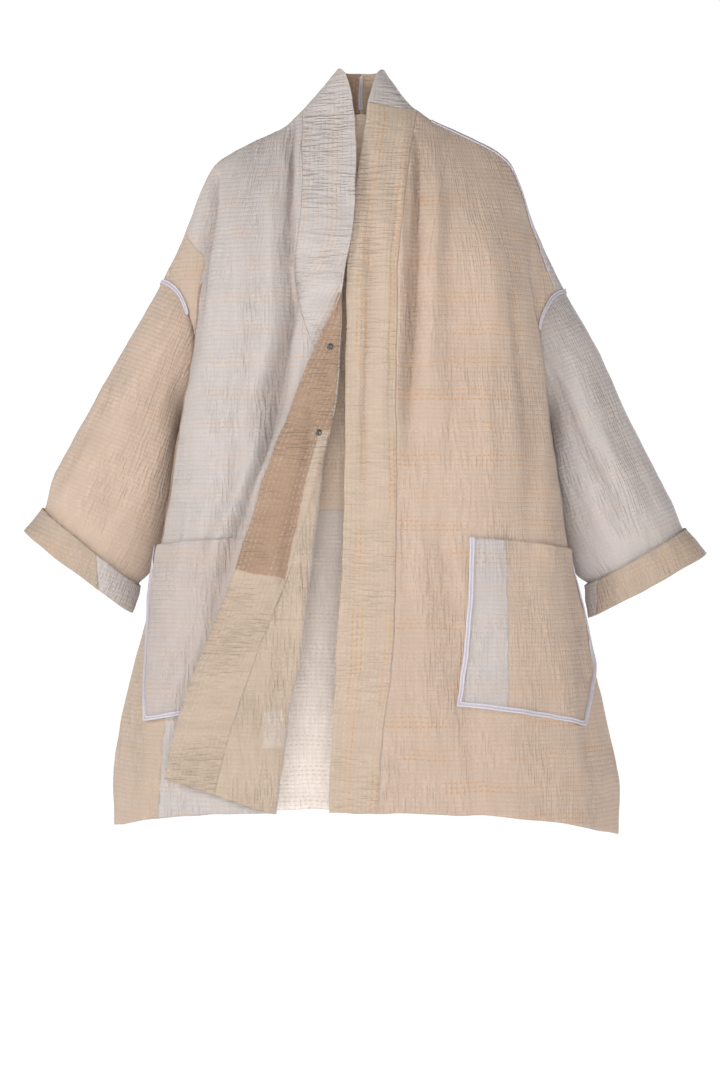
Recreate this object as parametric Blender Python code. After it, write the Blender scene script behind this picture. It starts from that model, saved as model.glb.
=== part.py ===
"""Oversized kimono coat of quilted patchwork cotton, kept in its worn form.

Metres, +Z up, the front faces -Y. The origin is the middle of the neck at shoulder level.
Right and left are the wearer's: right is -X.
"""
import math
import bpy
import bmesh
from mathutils import Vector

# Cloth and seams
CLOTH = 0.0026
TRIM = 0.0014
SEAM_GAP = 0.0003
LAID_GAP = 0.0004
TRIM_GAP = 0.0009

# Neck, shoulders and armholes
NECK_OUT = {"right": 0.0795, "left": 0.0767}
NECK_UP = 0.0137
BACK_NECK_DEPTH = 0.072
BACK_NECK_RISE = 0.005
POINT_UP = {"right": -0.078, "left": -0.056}
ARM_BOTTOM_UP = {"right": -0.399, "left": -0.405}
UNDERARM_UP = {"right": -0.405, "left": -0.411}
CENTRE_UNDERARM_UP = -0.420
UNDERARM_DIP = 0.035
RIDGE_HOLLOW = 0.004
SHOULDER_ROUND = 0.20
SHOULDER_POWER = 1.7
SECTION_POWER = 2.5
SEAM_FORWARD_NECK = 0.006
SEAM_FORWARD_ARM = {"right": 0.05, "left": 0.11}

# How far the middle of the armhole loop is drawn in
ARM_DRAWN_IN = {"front": 0.042, "back": 0.020}

# Bands, turned right front and cuffs
BAND_WIDTH = 0.070
TURN_RADIUS = 0.0045
TURNED_RISE = 0.0030
OVERLAP_LIFT = 0.0062
CUFF_LIFT = 0.0034
CUFF_OPEN = 0.0075

# Pieces laid on the cloth
BINDING_WIDTH = 0.0065
SNAP_RADIUS = 0.0042
SNAP_HEIGHT = 0.0016

# Mesh steps
UPPER_ROWS = 11
LOWER_ROWS = 15
CAP_STEPS = 5
CHEST_STEPS = 7
NECK_STEPS = 8
TURN_BEFORE = 2
TURN_AFTER = 3
BAND_STEPS = 3
SLIVER = 0.0012
TIE_STEP = 0.06
CORNER_ACROSS = 0.55
BACK_SPREAD = 1.5
ARM_BINDING_FRONT = 4
ARM_BINDING_BACK = 4
QUARTER = math.pi * TURN_RADIUS / 2
FRONT = -1
BACK = 1


class Table:
    """Rows of named columns, read smoothly along the first column."""

    def __init__(self, columns, rows):
        self.columns = columns.split()
        self.rows = rows
        self.places = [row[0] for row in rows]

    def slope(self, index, column):
        """Slope at a row, flat where the column turns, so that nothing overshoots."""
        if index == 0 or index == len(self.rows) - 1:
            return 0.0
        before, here, after = (self.rows[index + step] for step in (-1, 0, 1))
        left = (here[column] - before[column]) / (here[0] - before[0])
        right = (after[column] - here[column]) / (after[0] - here[0])
        if left * right <= 0:
            return 0.0
        return 2 * left * right / (left + right)

    def at(self, place, name):
        column = self.columns.index(name)
        place = min(max(place, self.places[0]), self.places[-1])
        index = 0
        while index < len(self.rows) - 2 and place > self.places[index + 1]:
            index += 1
        start, end = self.rows[index], self.rows[index + 1]
        span = end[0] - start[0]
        t = (place - start[0]) / span
        rise = t * t * (3 - 2 * t)
        lead = t * (1 - t) ** 2 * self.slope(index, column)
        trail = t * t * (t - 1) * self.slope(index + 1, column)
        return start[column] + (end[column] - start[column]) * rise + (lead + trail) * span


# Body sections: half widths at the front and back corners, how far a corner stands
# forward, how far the side is drawn in between them, and the depths at the middle
BODY = Table("down right left corner side_in front back", [
    (0.000, 0.2060, 0.2000, 0.050, 0.000, 0.090, 0.088),
    (0.080, 0.2125, 0.2080, 0.052, 0.000, 0.106, 0.100),
    (0.170, 0.2165, 0.2210, 0.056, 0.000, 0.122, 0.110),
    (0.270, 0.2260, 0.2350, 0.060, 0.002, 0.130, 0.112),
    (0.360, 0.2385, 0.2495, 0.060, 0.010, 0.132, 0.110),
    (0.456, 0.2535, 0.2630, 0.058, 0.018, 0.134, 0.110),
    (0.520, 0.2617, 0.2726, 0.055, 0.018, 0.136, 0.112),
    (0.600, 0.2770, 0.2860, 0.048, 0.012, 0.138, 0.116),
    (0.680, 0.2930, 0.3020, 0.041, 0.002, 0.140, 0.121),
    (0.766, 0.3137, 0.3210, 0.034, 0.000, 0.142, 0.126),
    (0.852, 0.3310, 0.3410, 0.028, 0.000, 0.144, 0.132),
    (0.910, 0.3370, 0.3525, 0.025, 0.000, 0.146, 0.136),
    (0.975, 0.3357, 0.3500, 0.024, 0.000, 0.148, 0.138),
])

# Shoulder line above or below a straight line from the neck to the shoulder point
SHOULDER = Table("along right left", [
    (0.00, 0.000, 0.000),
    (0.17, -0.008, -0.005),
    (0.38, 0.000, -0.001),
    (0.60, 0.006, 0.002),
    (0.85, 0.011, 0.007),
    (1.00, 0.000, 0.000),
])

# Hem heights: at the middle of the front, and how much lower it hangs at each side
HEM_UP = {"front": -0.937, "back": -0.958}
HEM_SIDE_UP = {"right": -0.962, "left": -0.974}
HEM_POWER = 3.0

# Front band seams: distance out from the middle
BAND_SEAM = Table("down left", [
    (-0.014, 0.0767),
    (0.040, 0.0690),
    (0.092, 0.0611),
    (0.153, 0.0545),
    (0.257, 0.0470),
    (0.400, 0.0465),
    (0.520, 0.0465),
    (0.655, 0.0452),
    (0.722, 0.0430),
    (0.828, 0.0300),
    (0.937, 0.0226),
])

# Left band's free edge, which hangs past the middle
LEFT_FREE = Table("down left", [
    (0.105, -0.0070),
    (0.138, -0.0120),
    (0.199, -0.0179),
    (0.257, -0.0205),
    (0.364, -0.0205),
    (0.425, -0.0214),
    (0.506, -0.0226),
    (0.602, -0.0245),
    (0.690, -0.0306),
    (0.774, -0.0350),
    (0.858, -0.0391),
    (0.914, -0.0440),
    (0.937, -0.0433),
])

# Right front: where it is turned back, the length turned, and how the turned edge rises
TURN = Table("down apex turned rise", [
    (0.077, 0.0021, -0.0071, 0.000),
    (0.138, 0.0040, -0.0071, 0.000),
    (0.177, 0.0101, -0.0071, 0.000),
    (0.209, 0.0168, -0.0065, 0.000),
    (0.241, 0.0262, 0.0000, 0.000),
    (0.280, 0.0285, 0.0180, 0.000),
    (0.319, 0.0278, 0.0335, 0.000),
    (0.390, 0.0291, 0.0622, 0.000),
    (0.450, 0.0476, 0.0690, 0.002),
    (0.536, 0.0568, 0.0850, 0.008),
    (0.638, 0.0701, 0.1040, 0.018),
    (0.745, 0.0833, 0.1310, 0.033),
    (0.811, 0.0965, 0.1400, 0.040),
    (0.862, 0.1018, 0.1500, 0.045),
    (0.937, 0.1130, 0.1560, 0.051),
])

# Collar's free edge, by distance along the neck seam: round the back, then down the front
COLLAR = Table("along right_out right_y right_up left_out left_y left_up", [
    (-0.100, 0.0000, 0.046, 0.0705, 0.0000, 0.046, 0.0705),
    (-0.075, 0.0200, 0.041, 0.0703, 0.0200, 0.041, 0.0703),
    (-0.050, 0.0305, 0.028, 0.0700, 0.0305, 0.027, 0.0700),
    (-0.025, 0.0345, 0.012, 0.0697, 0.0330, 0.008, 0.0697),
    (0.000, 0.0325, -0.003, 0.0695, 0.0215, -0.018, 0.0690),
    (0.003, 0.0300, -0.010, 0.0693, 0.0100, -0.046, 0.0140),
    (0.010, 0.0240, -0.022, 0.0670, 0.0085, -0.050, 0.0010),
    (0.028, 0.0140, -0.038, 0.0420, 0.0050, -0.058, -0.0180),
    (0.054, 0.0080, -0.056, 0.0010, 0.0010, -0.067, -0.0420),
    (0.086, 0.0058, -0.073, -0.0400, -0.0030, -0.079, -0.0730),
    (0.123, 0.0062, -0.091, -0.0880, -0.0070, -0.093, -0.1090),
    (0.165, 0.0100, -0.106, -0.1440, -0.0120, -0.106, -0.1500),
])

# Largest folds of the fronts and back: soft ridges (+) and valleys (-) down the cloth
FOLDS = Table("number face top_x low_x top_down low_down width height", [
    (0, FRONT, -0.092, -0.118, 0.05, 0.62, 0.016, -0.0060),
    (1, FRONT, -0.128, -0.168, 0.24, 0.62, 0.018, 0.0050),
    (2, FRONT, -0.165, -0.196, 0.16, 0.58, 0.016, -0.0045),
    (3, FRONT, -0.190, -0.286, 0.45, 0.99, 0.026, 0.0060),
    (4, FRONT, -0.150, -0.232, 0.60, 0.99, 0.024, -0.0055),
    (5, FRONT, 0.070, 0.066, 0.04, 0.52, 0.012, -0.0050),
    (6, FRONT, 0.096, 0.100, 0.05, 0.50, 0.016, 0.0045),
    (7, FRONT, 0.150, 0.205, 0.30, 0.99, 0.030, 0.0050),
    (8, FRONT, 0.085, 0.130, 0.52, 0.99, 0.028, -0.0050),
    (9, FRONT, 0.200, 0.262, 0.42, 0.99, 0.024, -0.0055),
    (10, BACK, -0.030, -0.050, 0.16, 0.99, 0.026, -0.0060),
    (11, BACK, 0.035, 0.060, 0.22, 0.99, 0.026, 0.0050),
    (12, BACK, -0.100, -0.150, 0.24, 0.99, 0.030, 0.0060),
    (13, BACK, 0.105, 0.155, 0.20, 0.99, 0.030, -0.0055),
    (14, BACK, -0.165, -0.235, 0.35, 0.99, 0.028, -0.0055),
    (15, BACK, 0.170, 0.245, 0.40, 0.99, 0.030, 0.0055),
])
FOLD_FADE = 0.10

# Sleeve sections: outer and inner edge, half depths, and how far the front is drawn in
SLEEVES = {
    "right": Table("row out_x out_z in_x in_z front back drawn", [
        (0.0, 0.2747, -0.2226, 0.2385, -0.3990, 0.046, 0.064, 1.00),
        (0.4, 0.2800, -0.2320, 0.2500, -0.4060, 0.049, 0.064, 0.55),
        (1.2, 0.2950, -0.2600, 0.2520, -0.4400, 0.055, 0.064, 0.20),
        (2.4, 0.3150, -0.2970, 0.2530, -0.4750, 0.059, 0.064, 0.05),
        (3.6, 0.3375, -0.3380, 0.2550, -0.5100, 0.061, 0.063, 0.00),
        (4.8, 0.3600, -0.3790, 0.2605, -0.5450, 0.061, 0.062, 0.00),
        (6.0, 0.3840, -0.4230, 0.2680, -0.5770, 0.060, 0.061, 0.00),
        (7.2, 0.4070, -0.4660, 0.2790, -0.6040, 0.058, 0.059, 0.00),
        (8.2, 0.4265, -0.5030, 0.2905, -0.6240, 0.056, 0.057, 0.00),
    ]),
    "left": Table("row out_x out_z in_x in_z front back drawn", [
        (0.0, 0.2803, -0.2343, 0.2490, -0.4050, 0.046, 0.064, 1.00),
        (0.4, 0.2860, -0.2450, 0.2610, -0.4120, 0.049, 0.064, 0.55),
        (1.2, 0.3010, -0.2720, 0.2630, -0.4460, 0.055, 0.064, 0.20),
        (2.4, 0.3205, -0.3080, 0.2640, -0.4810, 0.059, 0.064, 0.05),
        (3.6, 0.3415, -0.3530, 0.2660, -0.5150, 0.061, 0.063, 0.00),
        (4.8, 0.3630, -0.4020, 0.2710, -0.5500, 0.061, 0.062, 0.00),
        (6.0, 0.3850, -0.4490, 0.2775, -0.5800, 0.060, 0.061, 0.00),
        (7.2, 0.4080, -0.4930, 0.2880, -0.6080, 0.058, 0.059, 0.00),
        (8.2, 0.4290, -0.5270, 0.2970, -0.6270, 0.056, 0.057, 0.00),
    ]),
}
SLEEVE_ROWS = (0.0, 0.4, 1.2, 2.1, 3.0, 3.9, 4.8, 5.7, 6.6, 7.4, 8.2)

# Turned-back cuffs: sections at the upper edge and at the sleeve's end
CUFFS = {
    "right": Table("along out_x out_z in_x in_z front back", [
        (0.0, 0.4343, -0.5316, 0.3020, -0.6390, 0.060, 0.060),
        (0.5, 0.4480, -0.5480, 0.3060, -0.6580, 0.060, 0.060),
        (1.0, 0.4603, -0.5631, 0.3135, -0.6750, 0.058, 0.058),
    ]),
    "left": Table("along out_x out_z in_x in_z front back", [
        (0.0, 0.4445, -0.5590, 0.3070, -0.6370, 0.060, 0.060),
        (0.5, 0.4595, -0.5765, 0.3080, -0.6580, 0.060, 0.060),
        (1.0, 0.4726, -0.5935, 0.3125, -0.6810, 0.058, 0.058),
    ]),
}

# Patch pockets: corners by distance out (beyond the corner of the body it goes round the
# side, in metres) and height
POCKETS = {
    "right": {"top_in": (0.143, -0.571), "top_out": (0.276, -0.583), "round_side": 0.010,
              "low_in": (0.127, -0.795), "low_out": (0.289, -0.818)},
    "left": {"top_in": (0.143, -0.571), "top_out": (0.283, -0.588), "round_side": 0.026,
             "low_in": (0.127, -0.795), "low_out": (0.301, -0.824)},
}

# Press-stud halves on the turned right front
SNAPS = {"snap_upper": (0.0402, -0.3193), "snap_lower": (0.0560, -0.4327)}

COLOURS = {
    "off_white": (0.66, 0.62, 0.60),
    "cream": (0.66, 0.54, 0.42),
    "beige": (0.59, 0.49, 0.37),
    "white": (0.76, 0.73, 0.78),
    "gunmetal": (0.10, 0.10, 0.10),
}


def mix(start, end, part):
    return start + (end - start) * part


def smooth_step(value, start, end):
    t = min(max((value - start) / (end - start), 0.0), 1.0)
    return t * t * (3 - 2 * t)


def sign_of(side):
    return -1 if side == "right" else 1


def point_out(side):
    """Distance out of the shoulder point."""
    return BODY.at(-POINT_UP[side], side)


def ridge_up(side, out):
    """Height of the shoulder line at a distance out."""
    neck = NECK_OUT[side]
    if out < neck:
        return NECK_UP
    along = min((out - neck) / (point_out(side) - neck), 1.0)
    return mix(NECK_UP, POINT_UP[side], along) + SHOULDER.at(along, side)


def rounded(drop):
    """Share of the full depth that the cloth has reached below the shoulder line."""
    left = 1 - min(max(drop / SHOULDER_ROUND, 0.0), 1.0)
    return (1 - left ** SHOULDER_POWER) ** (1 / SHOULDER_POWER)


def fold_height(face, x, down):
    """Height of the largest folds at one place."""
    total = 0.0
    for row in FOLDS.rows:
        fold = dict(zip(FOLDS.columns, row))
        if fold["face"] != face:
            continue
        along = (down - fold["top_down"]) / (fold["low_down"] - fold["top_down"])
        middle = mix(fold["top_x"], fold["low_x"], along)
        fade = smooth_step(down, fold["top_down"], fold["top_down"] + FOLD_FADE)
        fade *= 1 - smooth_step(down, fold["low_down"], fold["low_down"] + FOLD_FADE)
        total += fold["height"] * fade * math.exp(-((x - middle) / fold["width"]) ** 2)
    return total


def body_y(side, face, x, z):
    """Depth of the front or back cloth at a place."""
    out, down = abs(x), -z
    corner = BODY.at(down, "corner")
    full = BODY.at(down, "front" if face == FRONT else "back")
    across = min(out / BODY.at(down, side), 1.0)
    depth = corner + (full - corner) * (1 - across ** SECTION_POWER) ** (1 / SECTION_POWER)
    start = 0.0
    if face == BACK and out < NECK_OUT[side]:
        start = BACK_NECK_DEPTH * math.sqrt(1 - (out / NECK_OUT[side]) ** 2)
    reached = rounded(ridge_up(side, out) - z)
    edge_fade = 1 - smooth_step(across, 0.80, 0.97)
    folds = fold_height(face, x, down) * edge_fade * reached
    return face * (mix(start, depth, reached) + folds)


def hem_up(side, face, across):
    middle = HEM_UP["front" if face == FRONT else "back"]
    return mix(middle, HEM_SIDE_UP[side], across ** HEM_POWER)


def corner_point(side, face, v):
    """Corner of the body between the shoulder point and the underarm level."""
    z = mix(POINT_UP[side], UNDERARM_UP[side], v)
    y = face * BODY.at(-z, "corner") * rounded(POINT_UP[side] - z)
    return Vector((sign_of(side) * BODY.at(-z, side), y, z))


def sleeve_section(side, sizes, angle):
    """Point of a sleeve section: 0 is the outer edge, +half a turn goes down the front."""
    face = "front" if angle >= 0 else "back"
    turn = abs(angle)
    middle_x = (sizes["out_x"] + sizes["in_x"]) / 2
    middle_z = (sizes["out_z"] + sizes["in_z"]) / 2
    drawn = ARM_DRAWN_IN[face] * sizes["drawn"] * math.sin(turn) * (0.65 + 0.35 * math.cos(turn))
    out = middle_x + (sizes["out_x"] - sizes["in_x"]) / 2 * math.cos(turn) - drawn
    y = sizes[face] * math.sin(turn)
    z = middle_z + (sizes["out_z"] - sizes["in_z"]) / 2 * math.cos(turn)
    return Vector((sign_of(side) * out, -y if face == "front" else y, z))


def sleeve_sizes(side, row):
    table = SLEEVES[side]
    return {name: table.at(row, name) for name in table.columns[1:]}


def armhole_point(side, face, v):
    angle = math.pi * v * (1 if face == FRONT else -1)
    return sleeve_section(side, sleeve_sizes(side, 0.0), angle)


def side_point(side, face, w, z):
    """Side of the body below the arm, from its corner (w 0) to the side seam (w 1)."""
    out = BODY.at(-z, side) - BODY.at(-z, "side_in") * (1 - (1 - w) ** 2)
    return Vector((sign_of(side) * out, face * BODY.at(-z, "corner") * (1 - w), z))


def underarm_up(side, w):
    """Height of the row that comes up the side to the underarm."""
    start, end = UNDERARM_UP[side], ARM_BOTTOM_UP[side]
    return mix(start, end, w) - UNDERARM_DIP * math.sin(math.pi * w)


def cap_point(side, face, w, v):
    """Dropped shoulder between the body's corner (w 0) and the armhole seam (w 1)."""
    start, end = corner_point(side, face, v), armhole_point(side, face, v)
    point = start.lerp(end, w)
    point.x -= sign_of(side) * RIDGE_HOLLOW * math.sin(math.pi * w) * (1 - v)
    if w < 1:
        straight = corner_point(side, face, 1.0).lerp(armhole_point(side, face, 1.0), w)
        point += (side_point(side, face, w, underarm_up(side, w)) - straight) * v ** 4
    return point


# Rows of the panels: v runs from the shoulder line to the underarm, t on to the hem
def upper_share(side, row, across):
    """Share v of an upper row; across is 0 at the neck and 1 at the armhole."""
    power = mix(1.6, 1.15, across)
    return (row / UPPER_ROWS) ** power


def seam_share(side, across):
    """Share v of the shoulder seam, which lies forward of the shoulder line."""
    return mix(SEAM_FORWARD_NECK, SEAM_FORWARD_ARM[side], across ** 2)


def front_share(side, row, across):
    start = seam_share(side, across)
    return start + (1 - start) * upper_share(side, row, across)


def lower_share(row):
    """Share t of a lower row: two close rows round the underarm, then even ones."""
    close = (0.0, 0.022, 0.065)
    if row < len(close):
        return close[row]
    return mix(close[-1], 1.0, (row - 2) / (LOWER_ROWS - 2))


def chest_z(side, across, v):
    """Height on the body part of an upper row; across is 0 at the neck, 1 at the corner."""
    start = mix(NECK_UP, CENTRE_UNDERARM_UP, v)
    end = mix(POINT_UP[side], UNDERARM_UP[side], v)
    return mix(start, end, across) + (1 - v) * SHOULDER.at(across, side)


def lower_z(side, face, across, t):
    start = mix(CENTRE_UNDERARM_UP, UNDERARM_UP[side], across)
    return mix(start, hem_up(side, face, across), t)


def corner_out(side, v=None, z=None):
    if z is None:
        z = mix(POINT_UP[side], UNDERARM_UP[side], v)
    return BODY.at(-z, side)


def cap_row(side, face, kind, row):
    """Points from the body's corner to the outer edge of a panel, the corner left out."""
    points = []
    for step in range(1, CAP_STEPS + 1):
        w = step / CAP_STEPS
        across = mix(CORNER_ACROSS, 1.0, w)
        if kind == "seam":
            points.append(cap_point(side, FRONT, w, seam_share(side, across)))
        elif kind == "upper":
            share = front_share if face == FRONT else upper_share
            points.append(cap_point(side, face, w, share(side, row, across)))
        else:
            z = mix(underarm_up(side, w), HEM_SIDE_UP[side], lower_share(row))
            points.append(side_point(side, face, w, z))
    return points


def chest_point(side, face, inner_out, across, v):
    """Point of an upper row on the chest or upper back."""
    if across == 1.0:
        return corner_point(side, face, v)
    z = chest_z(side, across, v)
    x = sign_of(side) * mix(inner_out, corner_out(side, v=v), across)
    return Vector((x, body_y(side, face, x, z), z))


def low_point(side, face, inner_out, across, t):
    """Point of a lower row on the front or back."""
    z = lower_z(side, face, across, t)
    if across == 1.0:
        return side_point(side, face, 0.0, z)
    x = sign_of(side) * mix(inner_out, corner_out(side, z=z), across)
    return Vector((x, body_y(side, face, x, z), z))


def chest_row(side, face, kind, row, inner_out):
    """Points from the inner edge of a panel to the body's corner."""
    points = []
    for step in range(CHEST_STEPS + 1):
        across = step / CHEST_STEPS
        if kind == "seam":
            v = seam_share(side, across * CORNER_ACROSS)
            points.append(chest_point(side, FRONT, inner_out, across, v))
        elif kind == "upper":
            share = front_share if face == FRONT else upper_share
            v = share(side, row, across * CORNER_ACROSS)
            points.append(chest_point(side, face, inner_out, across, v))
        else:
            points.append(low_point(side, face, inner_out, across, lower_share(row)))
    return points


# Turned right front: a is the distance along the cloth from the edge of the turn,
# below zero on the layer underneath and above zero on the turned layer
def turned_point(z, a):
    """Point of the right front near its turn, on the row whose turn has this height."""
    apex, turned = TURN.at(-z, "apex"), TURN.at(-z, "turned")
    if a < QUARTER:
        angle = max(a, -QUARTER) / TURN_RADIUS
        out = apex + TURN_RADIUS * (1 - math.cos(angle)) + max(-a - QUARTER, 0.0)
        lift = TURN_RADIUS * (1 + math.sin(angle))
        up = z
    else:
        run = a - QUARTER
        tilt = math.atan2(TURN.at(-z, "rise"), max(turned, QUARTER))
        out = apex + TURN_RADIUS + run * math.cos(tilt)
        lift = 2 * TURN_RADIUS + TURNED_RISE * smooth_step(run, 0.01, 0.05)
        up = z + run * math.sin(tilt)
    return Vector((-out, body_y("right", FRONT, -out, up) - lift, up))


def under_a(z, out):
    """Distance along the cloth of a place on the layer underneath."""
    return -(out - TURN.at(-z, "apex") - TURN_RADIUS) - QUARTER


def under_out(z, a):
    """Distance out of a place on the layer underneath."""
    return TURN.at(-z, "apex") + TURN_RADIUS - (a + QUARTER)


def right_seam_a(z):
    """Place of the right band's seam along the cloth."""
    laid = TURN.at(-z, "turned") - BAND_WIDTH
    return mix(under_a(z, NECK_OUT["right"]), laid, smooth_step(-z, 0.02, 0.11))


def spread(start, stop, before, after):
    """Places across a turned piece: even ones, five round the turn, even ones."""
    count = before + 4 + after
    turn_start = min(-QUARTER, stop - (4 + after) * SLIVER)
    turn_stop = max(QUARTER, start + (before + 4) * SLIVER)
    places = []
    for index in range(count + 1):
        if index <= before:
            place = mix(start, max(turn_start, start), index / before)
        elif index <= before + 4:
            place = mix(-QUARTER, QUARTER, (index - before) / 4)
        else:
            place = mix(min(turn_stop, stop), stop, (index - before - 4) / after)
        place = max(place, start + index * SLIVER)
        places.append(min(place, stop - (count - index) * SLIVER))
    return places


# Rows of the fronts and back
def front_rows():
    upper = [("upper", row) for row in range(UPPER_ROWS + 1)]
    return upper + [("lower", row) for row in range(1, LOWER_ROWS + 1)]


def band_seam_z(side, kind, row):
    if kind == "upper":
        return chest_z(side, 0.0, front_share(side, row, 0.0))
    return lower_z(side, FRONT, 0.0, lower_share(row))


def band_seam_out(side, z):
    if side == "left":
        return BAND_SEAM.at(-z, "left")
    return under_out(z, right_seam_a(z))


def left_front_grid():
    grid = []
    for kind, row in front_rows():
        inner = band_seam_out("left", band_seam_z("left", kind, row))
        grid.append(chest_row("left", FRONT, kind, row, inner) + cap_row("left", FRONT, kind, row))
    return grid


def right_front_grid():
    """Rows from the band seam, round the turn where there is one, to the outer edge."""
    grid = []
    for kind, row in front_rows():
        z = band_seam_z("right", kind, row)
        places = spread(under_a(z, BODY.at(-z, "right")), right_seam_a(z), CHEST_STEPS, TURN_AFTER)
        turned = [turned_point(z, place) for place in reversed(places[CHEST_STEPS + 1:])]
        inner = under_out(z, places[CHEST_STEPS])
        chest = chest_row("right", FRONT, kind, row, inner)
        if (kind, row) == ("upper", 0):
            chest = chest_row("right", FRONT, kind, row, band_seam_out("right", z))
            chest, turned = shared_start(chest, len(turned))
        grid.append(turned + chest + cap_row("right", FRONT, kind, row))
    return grid


def shared_start(chest, count):
    """First row of the right front: close points on the straight stretch of the seam."""
    start, end = chest[0], chest[1]
    close = [start.lerp(end, TIE_STEP * step) for step in range(count + 1)]
    return [close[-1]] + chest[1:], close[:-1]


def back_neck_points(kind, row):
    """Back's points inside the neck, from right to left, or none for the shoulder seam row."""
    points = []
    for step in range(1, NECK_STEPS):
        angle = math.pi * step / NECK_STEPS
        side = "right" if step <= NECK_STEPS // 2 else "left"
        share = abs(math.cos(angle))
        if kind == "seam":
            points.append(None)
            continue
        if kind == "upper" and row == 0:
            out = NECK_OUT[side] * share
            z = NECK_UP + BACK_NECK_RISE * (1 - share ** 2)
            depth = BACK_NECK_DEPTH * math.sqrt(max(1 - share ** 2, 0.0))
            points.append(Vector((sign_of(side) * out, depth, z)))
            continue
        if kind == "upper":
            v = upper_share(side, row, 0.0)
            z = chest_z(side, 0.0, v)
            spread_out = 1.0
        else:
            z = lower_z(side, BACK, 0.0, lower_share(row))
            spread_out = back_neck_spread(row)
        x = sign_of(side) * NECK_OUT[side] * share * spread_out
        points.append(Vector((x, body_y(side, BACK, x, z), z)))
    return points


def back_neck_spread(row):
    """Widening of the back's middle columns towards the hem."""
    return mix(1.0, BACK_SPREAD, lower_share(row))


def back_grid():
    kinds = [("seam", 0)] + front_rows()
    grid = []
    for kind, row in kinds:
        halves = {}
        for side in ("right", "left"):
            inner = NECK_OUT[side]
            if kind == "seam":
                inner = band_seam_out(side, band_seam_z(side, "upper", 0))
            elif kind == "lower":
                inner *= back_neck_spread(row)
            halves[side] = chest_row(side, BACK, kind, row, inner) + cap_row(side, BACK, kind, row)
        grid.append(halves["right"][::-1] + back_neck_points(kind, row) + halves["left"])
    return grid


# Bands and collar: rows run from the middle of the back neck, down a front, to the hem
def collar_free(side, along):
    out = COLLAR.at(along, side + "_out")
    return Vector((sign_of(side) * out, COLLAR.at(along, side + "_y"), COLLAR.at(along, side + "_up")))


def band_line(side, kind, row, seam):
    """Points across a band on one front row, from its seam to its free edge."""
    z = band_seam_z(side, kind, row)
    along = NECK_UP - z
    low = smooth_step(along, 0.09, 0.165)
    free = collar_free(side, along)
    if side == "right":
        start, stop = right_seam_a(z), TURN.at(-z, "turned")
        places = spread(start, stop, TURN_BEFORE, TURN_BEFORE)
        shares = [(place - start) / (stop - start) for place in places]
    else:
        shares = [step / BAND_STEPS for step in range(BAND_STEPS + 1)]
    points = []
    for index, share in enumerate(shares):
        neck = seam.lerp(free, share)
        if side == "right":
            laid = turned_point(z, places[index])
            rising = smooth_step(-z, 0.05, 0.09) * (1 - smooth_step(-z, 0.205, 0.245))
            laid.y -= OVERLAP_LIFT * share ** 2 * rising
            neck.y -= OVERLAP_LIFT * share ** 2 * rising
        else:
            x = mix(band_seam_out(side, z), LEFT_FREE.at(-z, "left"), share)
            laid = Vector((x, body_y(side, FRONT, x, z), z))
        points.append(neck.lerp(laid, low))
    points[0] = seam.copy()
    return points


def collar_line(side, along, seam):
    """Points across the collar on one row behind the neck."""
    free = collar_free(side, along)
    if side == "right":
        places = spread(-QUARTER - BAND_WIDTH, -QUARTER, TURN_BEFORE, TURN_BEFORE)
        shares = [(place - places[0]) / BAND_WIDTH for place in places]
    else:
        shares = [step / BAND_STEPS for step in range(BAND_STEPS + 1)]
    return [seam.lerp(free, share) for share in shares]


def collar_rows(side, back):
    """Rows of the collar from the middle of the back neck to the shoulder line."""
    neck_row = back[1]
    first = CAP_STEPS + CHEST_STEPS
    rows = []
    half = NECK_STEPS // 2
    for step in range(half + 1):
        column = first + half - step if side == "right" else first + half + step
        along = COLLAR.places[0] * (1 - step / half)
        rows.append(collar_line(side, along, neck_row[column]))
    return rows


def band_rows(side, front):
    rows = []
    for (kind, row), points in zip(front_rows(), front):
        rows.append(band_line(side, kind, row, points[0]))
    return rows


# Sleeves and cuffs
def ring_angles(side):
    """Angles round a sleeve: from the underarm up the front, over the top, down the back."""
    front = [front_share(side, row, 1.0) for row in range(UPPER_ROWS + 1)]
    back = [upper_share(side, row, 1.0) for row in range(UPPER_ROWS)]
    return [math.pi * share for share in reversed(front)] + [-math.pi * share for share in back]


def sleeve_grid(side):
    angles = ring_angles(side)
    grid = []
    for row in SLEEVE_ROWS:
        sizes = sleeve_sizes(side, row)
        grid.append([sleeve_section(side, sizes, angle) for angle in angles])
    for along, clear in ((0.0, CUFF_OPEN), (0.5, CUFF_LIFT), (1.0, CUFF_LIFT)):
        sizes = cuff_sizes(side, along, -clear)
        grid.append([sleeve_section(side, sizes, angle) for angle in angles])
    return grid


def cuff_sizes(side, along, grow):
    """Section of a cuff, made larger or smaller all round."""
    table = CUFFS[side]
    sizes = {name: table.at(along, name) for name in table.columns[1:]}
    run = Vector((sizes["out_x"] - sizes["in_x"], 0, sizes["out_z"] - sizes["in_z"])).normalized()
    sizes["out_x"] += run.x * grow
    sizes["out_z"] += run.z * grow
    sizes["in_x"] -= run.x * grow
    sizes["in_z"] -= run.z * grow
    sizes["front"] += grow
    sizes["back"] += grow
    sizes["drawn"] = 0.0
    return sizes


def cuff_grid(side):
    angles = ring_angles(side)
    return [[sleeve_section(side, cuff_sizes(side, along, 0.0), angle) for angle in angles]
            for along in (0.0, 0.5, 1.0)]


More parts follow.
